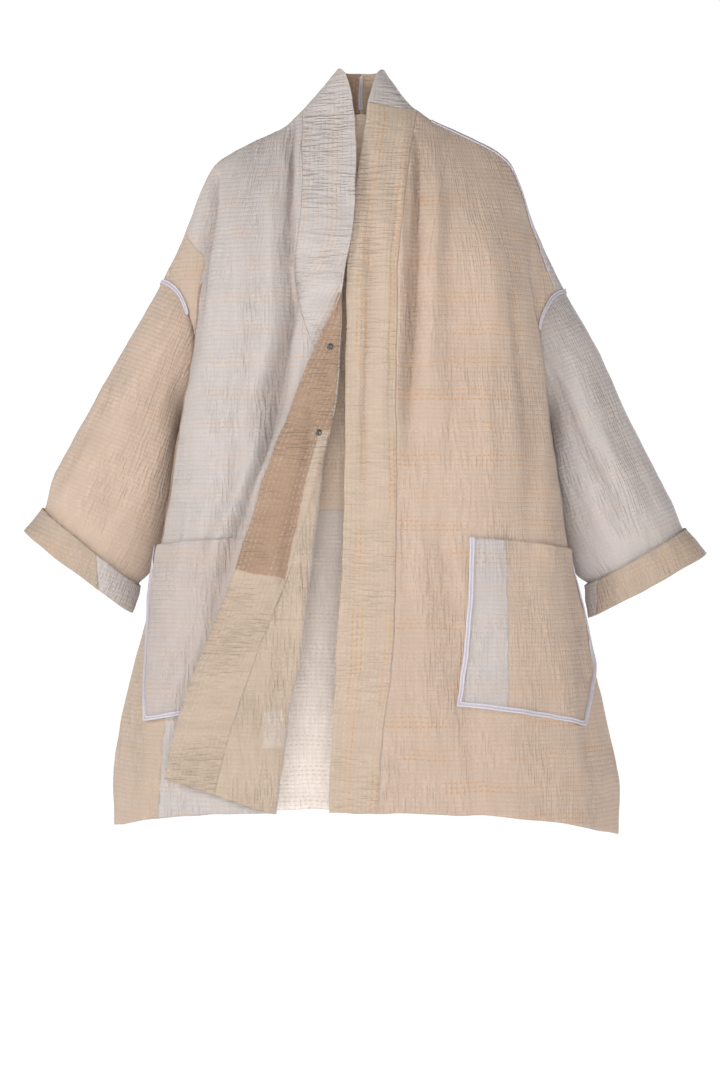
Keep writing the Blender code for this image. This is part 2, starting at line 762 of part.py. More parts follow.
# Solids
class Cloth:
    """A piece of cloth as rows of points on its middle surface."""

    def __init__(self, name, colour, rows, outward, ring=False):
        self.name = name
        self.colour = colour
        self.rows = rows
        self.normals = [[None] * len(row) for row in rows]
        self.ties = {}
        self.faces = []
        columns = len(rows[0])
        for r in range(len(rows) - 1):
            for c in range(columns if ring else columns - 1):
                n = (c + 1) % columns
                corners = [(r, c), (r + 1, c), (r + 1, n), (r, n)]
                if any(rows[i][j] is None for i, j in corners):
                    continue
                for face in (corners[:3], [corners[0], corners[2], corners[3]]):
                    self.faces.append(face if outward > 0 else face[::-1])

    def point(self, spot):
        return self.rows[spot[0]][spot[1]]

    def edges(self):
        """Edges of one face only, each with its face."""
        used = {}
        for face in self.faces:
            for start, end in zip(face, face[1:] + face[:1]):
                used[(start, end)] = face
        return {edge: face for edge, face in used.items() if (edge[1], edge[0]) not in used}

    def sample(self, r, c):
        """Point and outward direction at a place between rows and columns."""
        r0 = min(int(r), len(self.rows) - 2)
        c0 = min(int(c), len(self.rows[0]) - 2)
        down, over = r - r0, c - c0
        found = []
        for values in (self.rows, self.normals):
            a, b = values[r0][c0], values[r0][c0 + 1]
            d, e = values[r0 + 1][c0], values[r0 + 1][c0 + 1]
            if down > over:
                found.append(a + (d - a) * down + (e - d) * over)
            else:
                found.append(a + (b - a) * over + (e - b) * down)
        return found[0], found[1].normalized()


def key(point):
    return tuple(round(value, 5) for value in point)


def part_at_middle(cloth, side):
    """Square end of a collar piece at the middle of the back, half a gap from it."""
    for c, point in enumerate(cloth.rows[0]):
        cloth.rows[0][c] = Vector((sign_of(side) * SEAM_GAP / 2, point.y, point.z))
        cloth.normals[0][c].x = 0.0
        cloth.normals[0][c].normalize()


def share_normals(cloths):
    """One outward direction at each point, shared by the pieces that meet there."""
    total = {}
    for cloth in cloths:
        for face in cloth.faces:
            a, b, c = (cloth.point(spot) for spot in face)
            normal = (b - a).cross(c - a)
            for spot in face:
                place = key(cloth.point(spot))
                total[place] = total.get(place, Vector()) + normal
    for cloth in cloths:
        for r, row in enumerate(cloth.rows):
            for c, point in enumerate(row):
                if point is not None and key(point) in total:
                    cloth.normals[r][c] = total[key(point)].normalized()


def seam_places(cloths):
    """Places on the edges of two pieces or more."""
    count = {}
    for cloth in cloths:
        places = {key(cloth.point(spot)) for edge in cloth.edges() for spot in edge}
        for place in places:
            count[place] = count.get(place, 0) + 1
    return {place for place, number in count.items() if number > 1}


def seam_pulls(cloth, seams):
    """How each seam point moves back into its piece to leave the gap."""
    inward = {}
    for (start, end), face in cloth.edges().items():
        a, b = cloth.point(start), cloth.point(end)
        if key(a) not in seams or key(b) not in seams:
            continue
        third = next(spot for spot in face if spot not in (start, end))
        for spot in (start, end):
            normal = cloth.normals[spot[0]][spot[1]]
            direction = normal.cross(b - a).normalized()
            if direction.dot(cloth.point(third) - a) < 0:
                direction = -direction
            inward.setdefault(spot, []).append(direction)
    pulls = {}
    for spot, directions in inward.items():
        if len(directions) == 1:
            pulls[spot] = directions[0] * SEAM_GAP / 2
        else:
            first, second = directions[:2]
            pulls[spot] = (first + second) * (SEAM_GAP / 2) / max(1 + first.dot(second), 0.4)
    return pulls


def wall_from(name, colour, inner, outer, faces, borders):
    """Closed wall between two sheets of points."""
    spots = sorted({spot for face in faces for spot in face})
    index = {spot: number for number, spot in enumerate(spots)}
    count = len(spots)
    points = [outer[spot] for spot in spots] + [inner[spot] for spot in spots]
    solid = [[index[spot] for spot in face] for face in faces]
    solid += [[index[spot] + count for spot in reversed(face)] for face in faces]
    for start, end in borders:
        a, b = index[start], index[end]
        if key(outer[start]) < key(outer[end]):
            solid += [[b, a, a + count], [b, a + count, b + count]]
        else:
            solid += [[b, a, b + count], [a, a + count, b + count]]
    mesh = bpy.data.meshes.new(name)
    mesh.from_pydata([tuple(point) for point in points], [], solid)
    mesh.validate()
    mesh.update()
    return finish_object(name, colour, mesh)


def finish_object(name, colour, mesh):
    mesh.shade_smooth()
    mesh.set_sharp_from_angle(angle=math.radians(40))
    obj = bpy.data.objects.new(name, mesh)
    obj.data.materials.append(material(colour))
    bpy.context.scene.collection.objects.link(obj)
    return obj


def material(colour):
    name = "cloth_" + colour if colour != "gunmetal" else "metal_gunmetal"
    found = bpy.data.materials.get(name)
    if found:
        return found
    made = bpy.data.materials.new(name)
    made.use_nodes = True
    shader = made.node_tree.nodes["Principled BSDF"]
    shader.inputs["Base Color"].default_value = (*COLOURS[colour], 1.0)
    metal = colour == "gunmetal"
    shader.inputs["Roughness"].default_value = 0.4 if metal else 0.9
    shader.inputs["Metallic"].default_value = 0.9 if metal else 0.0
    return made


def build_cloth(cloth, seams):
    pulls = seam_pulls(cloth, seams)
    inner, outer = {}, {}
    for r, row in enumerate(cloth.rows):
        for c, point in enumerate(row):
            normal = cloth.normals[r][c]
            if normal is None:
                continue
            place = point + pulls.get((r, c), Vector())
            outer[(r, c)] = place + normal * CLOTH / 2
            inner[(r, c)] = place - normal * CLOTH / 2
    for spot, (start, end, share) in cloth.ties.items():
        outer[spot] = outer[start].lerp(outer[end], share)
        inner[spot] = inner[start].lerp(inner[end], share)
    return wall_from(cloth.name, cloth.colour, inner, outer, cloth.faces, cloth.edges())


def build_laid(name, colour, bases, above, thickness, facing=1):
    """Piece laid on cloth: rows of (point, outward direction), raised and given a thickness."""
    rows = [[point for point, normal in row] for row in bases]
    cloth = Cloth(name, colour, rows, 1)
    a, b, c = (cloth.point(spot) for spot in cloth.faces[0])
    r, k = cloth.faces[0][0]
    if (b - a).cross(c - a).dot(bases[r][k][1]) * facing < 0:
        cloth = Cloth(name, colour, rows, -1)
    inner, outer = {}, {}
    for r, row in enumerate(bases):
        for c, (point, normal) in enumerate(row):
            inner[(r, c)] = point + normal * facing * (CLOTH / 2 + above)
            outer[(r, c)] = inner[(r, c)] + normal * facing * thickness
    return wall_from(name, colour, inner, outer, cloth.faces, cloth.edges())


# Pockets and their bindings
def locate(cloth, first, last, x, z):
    """Row and column of a place on a front, between two columns."""
    before = None
    for r, row in enumerate(cloth.rows):
        for c in range(first, last):
            start, end = row[c], row[c + 1]
            if (start.x - x) * (end.x - x) <= 0 and start.x != end.x:
                share = (x - start.x) / (end.x - start.x)
                here = (mix(start.z, end.z, share), r, c + share)
                break
        else:
            here = (row[last].z, r, last)
        if before and before[0] >= z >= here[0]:
            part = (before[0] - z) / (before[0] - here[0])
            return mix(before[1], here[1], part), mix(before[2], here[2], part)
        before = here
    raise ValueError("place is not on the cloth")


def pocket_corners(side, cloth, first):
    """Rows and columns of a pocket's four corners, from the upper inner one round."""
    sizes = POCKETS[side]
    last = first + CHEST_STEPS
    found = []
    for name in ("top_in", "low_in", "low_out", "top_out"):
        out, z = sizes[name]
        found.append(locate(cloth, first, last, sign_of(side) * min(out, BODY.at(-z, side)), z))
    row, column = found[3]
    line = cloth.rows[int(row)]
    step = (line[last + 1] - line[last]).length
    found[3] = (row, column + sizes["round_side"] / step)
    return found


def clip(shape, start, end):
    """Part of a flat shape on the left of the line from start to end."""
    def height(spot):
        return ((end[0] - start[0]) * (spot[1] - start[1])
                - (end[1] - start[1]) * (spot[0] - start[0]))
    kept = []
    for here, after in zip(shape, shape[1:] + shape[:1]):
        low, high = height(here), height(after)
        if low >= 0:
            kept.append(here)
        if low * high < 0:
            share = low / (low - high)
            kept.append((mix(here[0], after[0], share), mix(here[1], after[1], share)))
    return kept


def patch_faces(cloth, outline):
    """Faces of the cloth inside a convex outline of (row, column) places."""
    faces = []
    for face in cloth.faces:
        shape = [tuple(float(value) for value in spot) for spot in face]
        for start, end in zip(outline, outline[1:] + outline[:1]):
            shape = clip(shape, start, end) if len(shape) > 2 else []
        shape = [(round(row, 6), round(column, 6)) for row, column in shape]
        shape = [spot for spot, before in zip(shape, shape[-1:] + shape[:-1]) if spot != before]
        if len(shape) > 2:
            faces.append(shape)
    return faces


def border_edges(faces):
    """Edges that only one face has."""
    used = {edge for face in faces for edge in zip(face, face[1:] + face[:1])}
    return [edge for edge in used if (edge[1], edge[0]) not in used]


def build_patch(name, colour, cloth, faces, above, thickness):
    """Piece laid on one cloth over the given faces."""
    inner, outer = {}, {}
    for spot in {spot for face in faces for spot in face}:
        point, normal = cloth.sample(*spot)
        inner[spot] = point + normal * (CLOTH / 2 + above)
        outer[spot] = inner[spot] + normal * thickness
    wall_from(name, colour, inner, outer, faces, border_edges(faces))


def inner_corners(cloth, corners):
    """Corners of a pocket's face inside its binding; the upper edge has none."""
    top_in, low_in, low_out, top_out = corners
    def step(spot, row, column):
        here = cloth.sample(*spot)[0]
        near = cloth.sample(spot[0] + row * 0.1, spot[1] + column * 0.1)[0]
        return BINDING_WIDTH / ((near - here).length / 0.1)
    over = [step(corners[0], 0, 1), step(corners[1], 0, 1),
            step(corners[2], 0, -1), step(corners[3], 0, -1)]
    up = [step(corners[1], -1, 0), step(corners[2], -1, 0)]
    return [(top_in[0], top_in[1] + over[0]),
            (low_in[0] - up[0], low_in[1] + over[1]),
            (low_out[0] - up[1], low_out[1] - over[2]),
            (top_out[0], top_out[1] - over[3])]


def build_pocket(side, cloth, first):
    corners = pocket_corners(side, cloth, first)
    build_patch("pocket_" + side, "off_white", cloth, patch_faces(cloth, corners), LAID_GAP, CLOTH)
    inside = inner_corners(cloth, corners)
    faces = []
    for step in range(3):
        outline = [corners[step], corners[step + 1], inside[step + 1], inside[step]]
        faces += patch_faces(cloth, outline)
    build_patch("pocket_binding_" + side, "white", cloth, faces, 2 * LAID_GAP + CLOTH, TRIM)


# Bindings over the armhole and shoulder seams
def near_sample(cloth, start, way, width):
    """Place on the cloth a short way from a grid point, along a row or column."""
    r, c = start
    here = cloth.rows[r][c]
    there = cloth.rows[r + way[0]][c + way[1]]
    share = width / (there - here).length
    return cloth.sample(r + way[0] * share, c + way[1] * share)


def build_armhole_binding(side, front, back, sleeve):
    last = len(front.rows[0]) - 1
    back_edge = 0 if side == "right" else len(back.rows[0]) - 1
    back_way = (0, 1) if side == "right" else (0, -1)
    half = BINDING_WIDTH / 2
    bases = []
    for row in range(ARM_BINDING_FRONT, -1, -1):
        seam = (front.rows[row][last], front.normals[row][last])
        ring = (0, UPPER_ROWS - row)
        bases.append([near_sample(front, (row, last), (0, -1), half), seam,
                      near_sample(sleeve, ring, (1, 0), half)])
    for row in range(0, ARM_BINDING_BACK + 1):
        seam = (back.rows[row + 1][back_edge], back.normals[row + 1][back_edge])
        ring = (0, UPPER_ROWS + 1 + row)
        bases.append([near_sample(back, (row + 1, back_edge), back_way, half), seam,
                      near_sample(sleeve, ring, (1, 0), half)])
    build_laid("armhole_binding_" + side, "white", bases, TRIM_GAP, TRIM)


def build_shoulder_binding(front, back):
    side = "left"
    first = CAP_STEPS + CHEST_STEPS + NECK_STEPS
    half = BINDING_WIDTH / 2
    bases = []
    for column in range(1, CHEST_STEPS + CAP_STEPS):
        seam = (front.rows[0][column], front.normals[0][column])
        bases.append([near_sample(front, (0, column), (1, 0), half), seam,
                      near_sample(back, (0, first + column), (1, 0), half)])
    build_laid("shoulder_binding_" + side, "white", bases, TRIM_GAP, TRIM)


def build_collar_binding(right, left):
    """Binding inside the collar over the seam at the middle of the back neck."""
    half = BINDING_WIDTH / 2
    bases = []
    for share in (0.12, 0.35, 0.6, 0.95):
        place = share * (len(left.rows[0]) - 1)
        seam = left.sample(0, place)
        right_edge = right.rows[0][-1].lerp(right.rows[0][0], 1 - share)
        step = (left.rows[1][0] - left.rows[0][0]).length
        side = left.sample(half / step, place)
        mirrored = (Vector((-side[0].x, side[0].y, side[0].z)),
                    Vector((-side[1].x, side[1].y, side[1].z)))
        bases.append([side, (right_edge, seam[1]), mirrored])
    build_laid("collar_binding", "white", bases, LAID_GAP, TRIM, facing=-1)


def build_snap(name, out, z):
    """Press-stud half: a low disc with a rolled rim and a socket."""
    lift = 2 * TURN_RADIUS + CLOTH / 2 + TRIM_GAP
    slope_x = (body_y("right", FRONT, -out - 0.01, z) - body_y("right", FRONT, -out + 0.01, z)) / -0.02
    slope_z = (body_y("right", FRONT, -out, z + 0.01) - body_y("right", FRONT, -out, z - 0.01)) / 0.02
    normal = Vector((slope_x, -1.0, slope_z)).normalized()
    middle = Vector((-out, body_y("right", FRONT, -out, z) - lift, z))
    profile = [(0.0, 0.0), (1.0, 0.0), (1.06, 0.3), (0.98, 0.75), (0.80, 1.0), (0.62, 0.8),
               (0.34, 0.75), (0.28, 0.4), (0.0, 0.4)]
    builder = bmesh.new()
    points = [builder.verts.new((share * SNAP_RADIUS, 0.0, height * SNAP_HEIGHT))
              for share, height in profile]
    line = [builder.edges.new(pair) for pair in zip(points, points[1:])]
    bmesh.ops.spin(builder, geom=points + line, axis=(0, 0, 1), cent=(0, 0, 0),
                   angle=2 * math.pi, steps=20, use_merge=True)
    bmesh.ops.remove_doubles(builder, verts=builder.verts, dist=0.00001)
    bmesh.ops.recalc_face_normals(builder, faces=builder.faces)
    mesh = bpy.data.meshes.new(name)
    builder.to_mesh(mesh)
    builder.free()
    obj = finish_object(name, "gunmetal", mesh)
    obj.location = middle
    obj.rotation_euler = normal.to_track_quat("Z", "Y").to_euler()


def clear_scene():
    for obj in list(bpy.data.objects):
        bpy.data.objects.remove(obj, do_unlink=True)


def build():
    clear_scene()
    back_points = back_grid()
    right_points, left_points = right_front_grid(), left_front_grid()
    back = Cloth("back", "off_white", back_points, -1)
    right = Cloth("front_right", "off_white", right_points, -1)
    left = Cloth("front_left", "cream", left_points, 1)
    band_right = Cloth("band_right", "off_white",
                       collar_rows("right", back_points) + band_rows("right", right_points), 1)
    neck_rows = collar_rows("left", back_points)
    left_band_rows = band_rows("left", left_points)
    collar_left = Cloth("collar_left", "off_white", neck_rows + left_band_rows[:1], -1)
    band_left = Cloth("band_left", "cream", left_band_rows, -1)
    sleeves = {side: Cloth("sleeve_" + side, colour, sleeve_grid(side), way, ring=True)
               for side, colour, way in (("right", "cream", -1), ("left", "off_white", 1))}
    for column in range(1, TURN_AFTER + 5):
        end = TURN_AFTER + 5
        right.ties[(0, column)] = ((0, 0), (0, end), TIE_STEP * column)
    cloths = [back, right, left, band_right, collar_left, band_left, *sleeves.values()]
    cuffs = [Cloth("cuff_" + side, "beige", cuff_grid(side), way, ring=True)
             for side, way in (("right", -1), ("left", 1))]
    share_normals(cloths)
    share_normals(cuffs)
    seams = seam_places(cloths)
    part_at_middle(band_right, "right")
    part_at_middle(collar_left, "left")
    for cloth in cloths:
        build_cloth(cloth, seams)
    for cuff in cuffs:
        build_cloth(cuff, set())
    build_pocket("right", right, TURN_AFTER + 4)
    build_pocket("left", left, 0)
    build_armhole_binding("right", right, back, sleeves["right"])
    build_armhole_binding("left", left, back, sleeves["left"])
    build_shoulder_binding(left, back)
    build_collar_binding(band_right, collar_left)
    for name, (out, z) in SNAPS.items():
        build_snap(name, out, z)


build()
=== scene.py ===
"""Looks of a hand-quilted patchwork kimono coat, worn open with its right front turned back."""
import math

import bmesh
import bpy
import numpy as np
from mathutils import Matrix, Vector, noise
from mathutils.bvhtree import BVHTree
from mathutils.kdtree import KDTree


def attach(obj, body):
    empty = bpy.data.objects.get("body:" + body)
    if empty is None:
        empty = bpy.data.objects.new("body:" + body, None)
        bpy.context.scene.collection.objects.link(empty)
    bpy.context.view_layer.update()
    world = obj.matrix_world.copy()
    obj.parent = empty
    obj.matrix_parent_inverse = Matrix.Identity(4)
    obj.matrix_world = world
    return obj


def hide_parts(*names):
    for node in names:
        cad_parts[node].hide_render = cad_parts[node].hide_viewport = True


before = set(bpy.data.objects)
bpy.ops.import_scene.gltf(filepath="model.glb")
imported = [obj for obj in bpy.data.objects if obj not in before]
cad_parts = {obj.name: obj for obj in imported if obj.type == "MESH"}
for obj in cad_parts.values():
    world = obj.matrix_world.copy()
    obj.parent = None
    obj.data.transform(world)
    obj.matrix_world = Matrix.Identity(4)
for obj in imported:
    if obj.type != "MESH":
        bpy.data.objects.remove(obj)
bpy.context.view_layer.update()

FRONT = -1
BACK = 1

# Cloth wall, and the most that the turned layer stands off the one under it, in metres
WALL = 0.0026
LAYERS_APART = 0.018

# Nodes whose cloth is turned back on itself, and the height where that starts
TURNED_NODES = ("front_right", "band_right")
TURN_STARTS_UP = -0.19

# Pockets with a binding round them, and how far the binding reaches in from the rim
BOUND_POCKETS = {"pocket_binding_left": "pocket_left", "pocket_binding_right": "pocket_right"}
BINDING_REACH = 0.0068

# Edges that bend more than this stay sharp, and marks are set along them at this step
SHARP = math.radians(62)
MARK_STEP = 0.0008

# Triangles of a wall that join into one face of four corners
JOIN_BEND = math.radians(45)
JOIN_SKEW = math.radians(180)

# Camera and studio, in metres, with lens and sensor in millimetres; glows are strengths of white light
CAMERA_PLACE = (-0.0014, -4.0, -0.575)
CAMERA_LENS = 97.3
SENSOR_LONG_SIDE = 36.0
FLOOR_UP = -1.50
FLOOR_RADIUS = 30.0
FLOOR_CORNERS = 48
FLOOR_GLOW = 0.93
HORIZON_GLOW = 1.05
SKY_GLOW = 0.12

# Height above the horizon, as the sine of its angle, over which the glow fades to the sky's
GLOW_FADE = (0.22, 0.36)

# Lamps: where each stands and aims, its diameter in metres and its power in watts
LAMPS = {
    "key": {"place": (-3.1, -2.0, 1.2), "aim": (0.0, 0.0, -0.45), "size": 0.8, "power": 74.0},
    "fill": {"place": (2.6, -2.6, 0.3), "aim": (0.0, 0.0, -0.55), "size": 1.6, "power": 8.0},
    "front": {"place": (-0.05, -4.7, -0.42), "aim": (0.0, 0.0, -0.60), "size": 0.8, "power": 100.0},
    "back": {"place": (1.8, 3.6, 0.8), "aim": (0.0, 0.0, -0.50), "size": 1.4, "power": 80.0},
}

# Quilting: rows of running stitches, in metres; the first rows of each group have a tinted thread
ROW_STEP = 0.0062
STITCH_PITCH = 0.0078
THREAD_HALF_WIDTH = 0.0008
ROWS_IN_GROUP = 7
TINTED_ROWS = 3
ROW_WANDER = 0.0030
PUCKER_PITCH = 0.0038
PUCKER_DEPTH = 0.0011

# How many times a metre the quilt's unevenness changes, along the rows and across them
WANDER_GRAIN = (22, 30)
PITCH_GRAIN = (60, 170)
FADING_GRAIN = (9, 22)
GATHER_GRAIN = (1 / PUCKER_PITCH, 34)
DRAWN_GRAIN = (14, 9)
CREPE_GRAIN = (52, 16)
BLOTCH_GRAIN = (7, 7)

# Shares of a stitch's pitch where its thread comes up and goes down, and of the thread where it rounds off
STITCH_START = (0.06, 0.16)
STITCH_END = (0.58, 0.68)
THREAD_EDGE = (0.6, 1.5)

# Noise values over which a row's tint, its fading, the gathers and the creping come in
TINT_STRENGTH = (-0.6, 0.5)
TINT_FADING = (0.25, 0.60)
GATHER_RISE = (0.28, 0.72)
DRAWN_RISE = (0.35, 0.65)
CREPE_RISE = (0.25, 0.75)

# How much the gathers are drawn in: the least, what noise adds, and what a fold adds
LEAST_DRAWN = 0.25
UNEVEN_DRAWN = 0.75
FOLD_DRAWN = 0.9

# Shading: hollows and what the height adds, folds, grooves, and how far plain and tinted thread cover
HOLLOW_SHADE = 0.92
HEIGHT_SHADE = 0.10
HEIGHT_RANGE = (0.1, 1.5)
FOLD_SHADE = 0.30
GROOVE_SHADE = 0.16
PLAIN_COVER = 0.10
TINTED_COVER = 0.85

# Heights in the quilt's relief, as shares of its depth
PUFF = 0.16
GATHERED_PUFF = 0.40
CREPE = 0.55
GATHERS = 0.75
STITCH_DENT = 0.20
SEAM_DENT = 0.8

# Seams between patches: sway of a patch's edge, and how far a seam's groove reaches, in metres
SEAM_SWAY = 0.004
SWAY_GRAIN = (60, 60)
PATCH_BLUR = 0.0005
PATCH_GROOVE = (0.0002, 0.0016)
SEAM_GROOVE = (0.0001, 0.0012)

# Binding strips: threads of the weave in radians a metre, puckers a metre, and the line of stitches
WEAVE_TURNS = 5200.0
STRIP_GRAIN = (260, 260)
STRIP_STITCH = (0.0020, 0.0027)
STRIP_DEPTH = 0.0009

# Cloth and thread colours, linear
OFF_WHITE = (0.432, 0.384, 0.362)
# Painted shade: a darker, warmer copy of the off-white for the right pocket
SHADED_POCKET_WHITE = (0.415, 0.356, 0.328)
CREAM = (0.450, 0.341, 0.268)
PALE_CREAM = (0.444, 0.346, 0.268)
# Painted light: brighter copies of the off-white and the cream for the back's reverse, standing in for
# light that reaches inside the open coat
LIT_INSIDE_WHITE = (0.830, 0.740, 0.680)
LIT_INSIDE_CREAM = (0.900, 0.715, 0.580)
BEIGE = (0.428, 0.330, 0.256)
CUFF_BEIGE = (0.375, 0.290, 0.226)
TAN = (0.300, 0.200, 0.137)
LIGHT_TAN = (0.405, 0.317, 0.244)
FADED_TAN = (0.456, 0.378, 0.318)
TAUPE = (0.420, 0.310, 0.225)
BINDING = (0.510, 0.475, 0.525)
WHITE_THREAD = (0.600, 0.550, 0.520)
# Painted light: a brighter copy of the white thread, for the back's reverse
LIT_INSIDE_THREAD = (0.840, 0.760, 0.700)
ORANGE_THREAD = (0.470, 0.235, 0.080)
BROWN_THREAD = (0.330, 0.200, 0.110)
GUNMETAL = (0.085, 0.080, 0.078)
WORN_METAL = (0.210, 0.200, 0.195)
# Painted shade: warm darkening of the cloth in the deep of its folds
FOLD_SHADE_TINT = (0.52, 0.42, 0.36)


class Table:
    """Rows of named columns, read along the first column."""

    def __init__(self, columns, rows):
        self.columns = columns.split()
        self.values = np.array(rows, dtype=float)

    def at(self, places, name):
        return np.interp(places, self.values[:, 0], self.values[:, self.columns.index(name)])


# Edges of the bands, by distance down: seam of the left band, free edge of the right one
BAND_EDGES = Table("down left_seam right_free", [
    (0.000, 0.0740, 0.0050),
    (0.092, 0.0611, 0.0030),
    (0.153, 0.0545, 0.0020),
    (0.209, 0.0500, -0.0103),
    (0.257, 0.0470, -0.0350),
    (0.280, 0.0467, -0.0465),
    (0.319, 0.0465, -0.0613),
    (0.390, 0.0465, -0.0913),
    (0.450, 0.0465, -0.1166),
    (0.536, 0.0465, -0.1418),
    (0.638, 0.0455, -0.1741),
    (0.745, 0.0400, -0.2143),
    (0.811, 0.0315, -0.2365),
    (0.862, 0.0270, -0.2518),
    (0.937, 0.0226, -0.2690),
])

# Creases of the body: face, upper and lower end, sideways bow, half width and height, in metres
BODY_CREASES = [
    (FRONT, (-0.099, 0.010), (-0.093, -0.260), 0.002, 0.0068, -0.0130),
    (FRONT, (-0.089, -0.225), (-0.132, -0.470), 0.003, 0.0140, -0.0170),
    (FRONT, (-0.112, -0.040), (-0.124, -0.380), -0.003, 0.0100, 0.0042),
    (FRONT, (-0.142, -0.120), (-0.152, -0.420), 0.006, 0.0120, -0.0034),
    (FRONT, (-0.176, -0.190), (-0.190, -0.560), -0.006, 0.0100, 0.0034),
    (FRONT, (-0.203, -0.050), (-0.215, -0.270), 0.003, 0.0075, -0.0120),
    (FRONT, (-0.213, -0.220), (-0.236, -0.380), 0.000, 0.0080, -0.0060),
    (FRONT, (-0.066, -0.400), (-0.108, -0.660), 0.003, 0.0060, -0.0050),
    (FRONT, (-0.053, -0.420), (-0.086, -0.640), 0.003, 0.0070, 0.0035),
    (FRONT, (-0.099, -0.330), (-0.207, -0.720), 0.005, 0.0085, -0.0095),
    (FRONT, (-0.122, -0.380), (-0.196, -0.620), 0.004, 0.0095, 0.0040),
    (FRONT, (-0.158, -0.420), (-0.214, -0.640), 0.006, 0.0090, -0.0046),
    (FRONT, (-0.235, -0.640), (-0.262, -0.930), 0.004, 0.0120, 0.0036),
    (FRONT, (-0.285, -0.600), (-0.305, -0.950), -0.004, 0.0110, -0.0036),
    (FRONT, (0.060, -0.005), (0.050, -0.420), -0.002, 0.0070, 0.0046),
    (FRONT, (0.011, -0.080), (0.005, -0.560), 0.002, 0.0070, -0.0050),
    (FRONT, (0.034, -0.060), (0.029, -0.600), 0.002, 0.0120, 0.0040),
    (FRONT, (0.078, -0.008), (0.064, -0.460), 0.003, 0.0095, -0.0140),
    (FRONT, (0.100, -0.040), (0.090, -0.420), 0.004, 0.0100, 0.0046),
    (FRONT, (0.124, -0.090), (0.112, -0.500), -0.006, 0.0110, -0.0036),
    (FRONT, (0.160, -0.130), (0.182, -0.520), 0.008, 0.0130, 0.0030),
    (FRONT, (0.204, -0.160), (0.226, -0.560), -0.006, 0.0100, -0.0070),
    (FRONT, (0.234, -0.300), (0.262, -0.620), 0.004, 0.0085, 0.0040),
    (FRONT, (0.070, -0.480), (0.098, -0.940), 0.004, 0.0130, 0.0032),
    (FRONT, (0.105, -0.520), (0.150, -0.930), -0.004, 0.0140, -0.0042),
    (FRONT, (0.280, -0.560), (0.318, -0.960), 0.004, 0.0110, -0.0042),
    (BACK, (-0.050, -0.090), (-0.075, -0.520), 0.006, 0.0120, -0.0026),
    (BACK, (0.020, -0.140), (0.012, -0.640), -0.006, 0.0110, 0.0022),
    (BACK, (0.085, -0.100), (0.110, -0.560), 0.008, 0.0120, -0.0034),
    (BACK, (-0.140, -0.170), (-0.190, -0.640), -0.008, 0.0110, 0.0032),
    (BACK, (0.165, -0.200), (0.215, -0.700), 0.006, 0.0120, 0.0030),
    (BACK, (-0.205, -0.300), (-0.262, -0.860), 0.006, 0.0110, -0.0036),
    (BACK, (0.225, -0.330), (0.285, -0.900), -0.006, 0.0120, -0.0034),
    (BACK, (-0.058, -0.560), (-0.070, -1.020), 0.004, 0.0150, 0.0085),
    (BACK, (-0.028, -0.520), (-0.034, -1.020), 0.003, 0.0150, -0.0070),
    (BACK, (0.014, -0.500), (0.004, -1.020), 0.004, 0.0150, 0.0095),
    (BACK, (0.070, -0.620), (0.100, -1.010), 0.004, 0.0150, -0.0050),
    (BACK, (-0.150, -0.640), (-0.190, -1.010), 0.004, 0.0150, -0.0050),
]

# Sleeves: where the axis starts and ends, and how wide the tube is, in metres
SLEEVE_AXES = {
    "right": {"start": (-0.2566, -0.3110), "end": (-0.3585, -0.5635)},
    "left": {"start": (0.2647, -0.3197), "end": (0.3630, -0.5770)},
}
SLEEVE_RADIUS = 0.075

# Depth of a fold that is as deep as any, on the body and on a sleeve
FULL_FOLD = 0.011
FULL_SLEEVE_FOLD = 0.006

# Where the body's relief gives way to a sleeve's: distance down the sleeve, and distance from the middle
ARMHOLE_FADE = 0.050
SLEEVE_STARTS_OUT = (0.28, 0.31)

# Creases of a sleeve: distances along it, angle round it (0 outer edge, + front), width and height
SLEEVE_CREASES = {
    "right": [
        {"along": (0.02, 0.25), "angle": (0.50, 0.42), "width": 0.010, "height": -0.0030},
        {"along": (0.00, 0.21), "angle": (1.05, 0.95), "width": 0.012, "height": 0.0026},
        {"along": (-0.04, 0.16), "angle": (1.75, 1.50), "width": 0.011, "height": -0.0032},
        {"along": (0.04, 0.26), "angle": (2.35, 2.20), "width": 0.010, "height": 0.0024},
        {"along": (0.00, 0.24), "angle": (-0.70, -0.55), "width": 0.012, "height": -0.0028},
        {"along": (-0.03, 0.20), "angle": (-1.40, -1.20), "width": 0.012, "height": 0.0028},
        {"along": (-0.05, 0.18), "angle": (-2.20, -1.90), "width": 0.011, "height": -0.0030},
    ],
    "left": [
        {"along": (-0.02, 0.24), "angle": (1.95, 1.55), "width": 0.010, "height": -0.0040},
        {"along": (0.00, 0.25), "angle": (1.40, 1.15), "width": 0.011, "height": 0.0028},
        {"along": (0.03, 0.26), "angle": (0.80, 0.75), "width": 0.012, "height": -0.0022},
        {"along": (0.06, 0.26), "angle": (2.60, 2.40), "width": 0.009, "height": 0.0022},
        {"along": (0.00, 0.22), "angle": (-0.60, -0.70), "width": 0.012, "height": 0.0024},
        {"along": (-0.03, 0.22), "angle": (-1.30, -1.15), "width": 0.012, "height": -0.0030},
        {"along": (-0.04, 0.18), "angle": (-2.10, -1.85), "width": 0.011, "height": 0.0026},
    ],
}

# Shares of a crease's length over which it comes in and dies away, and how much its width varies
CREASE_IN = (-0.12, 0.28)
CREASE_OUT = (0.68, 1.10)
SLEEVE_CREASE_IN = (-0.10, 0.30)
SLEEVE_CREASE_OUT = (0.70, 1.10)
WIDTH_SWING = 0.35

# Distance from the middle, front to back, over which a crease of one face comes in
FACE_FADE = (0.004, 0.035)

# Puckered stretch beside the fronts' edges: its middle, its half width, and how far forward it comes in
BAND_MIDDLE = 0.035
BAND_SPREAD = 0.045
BAND_FADE = (0.03, 0.08)

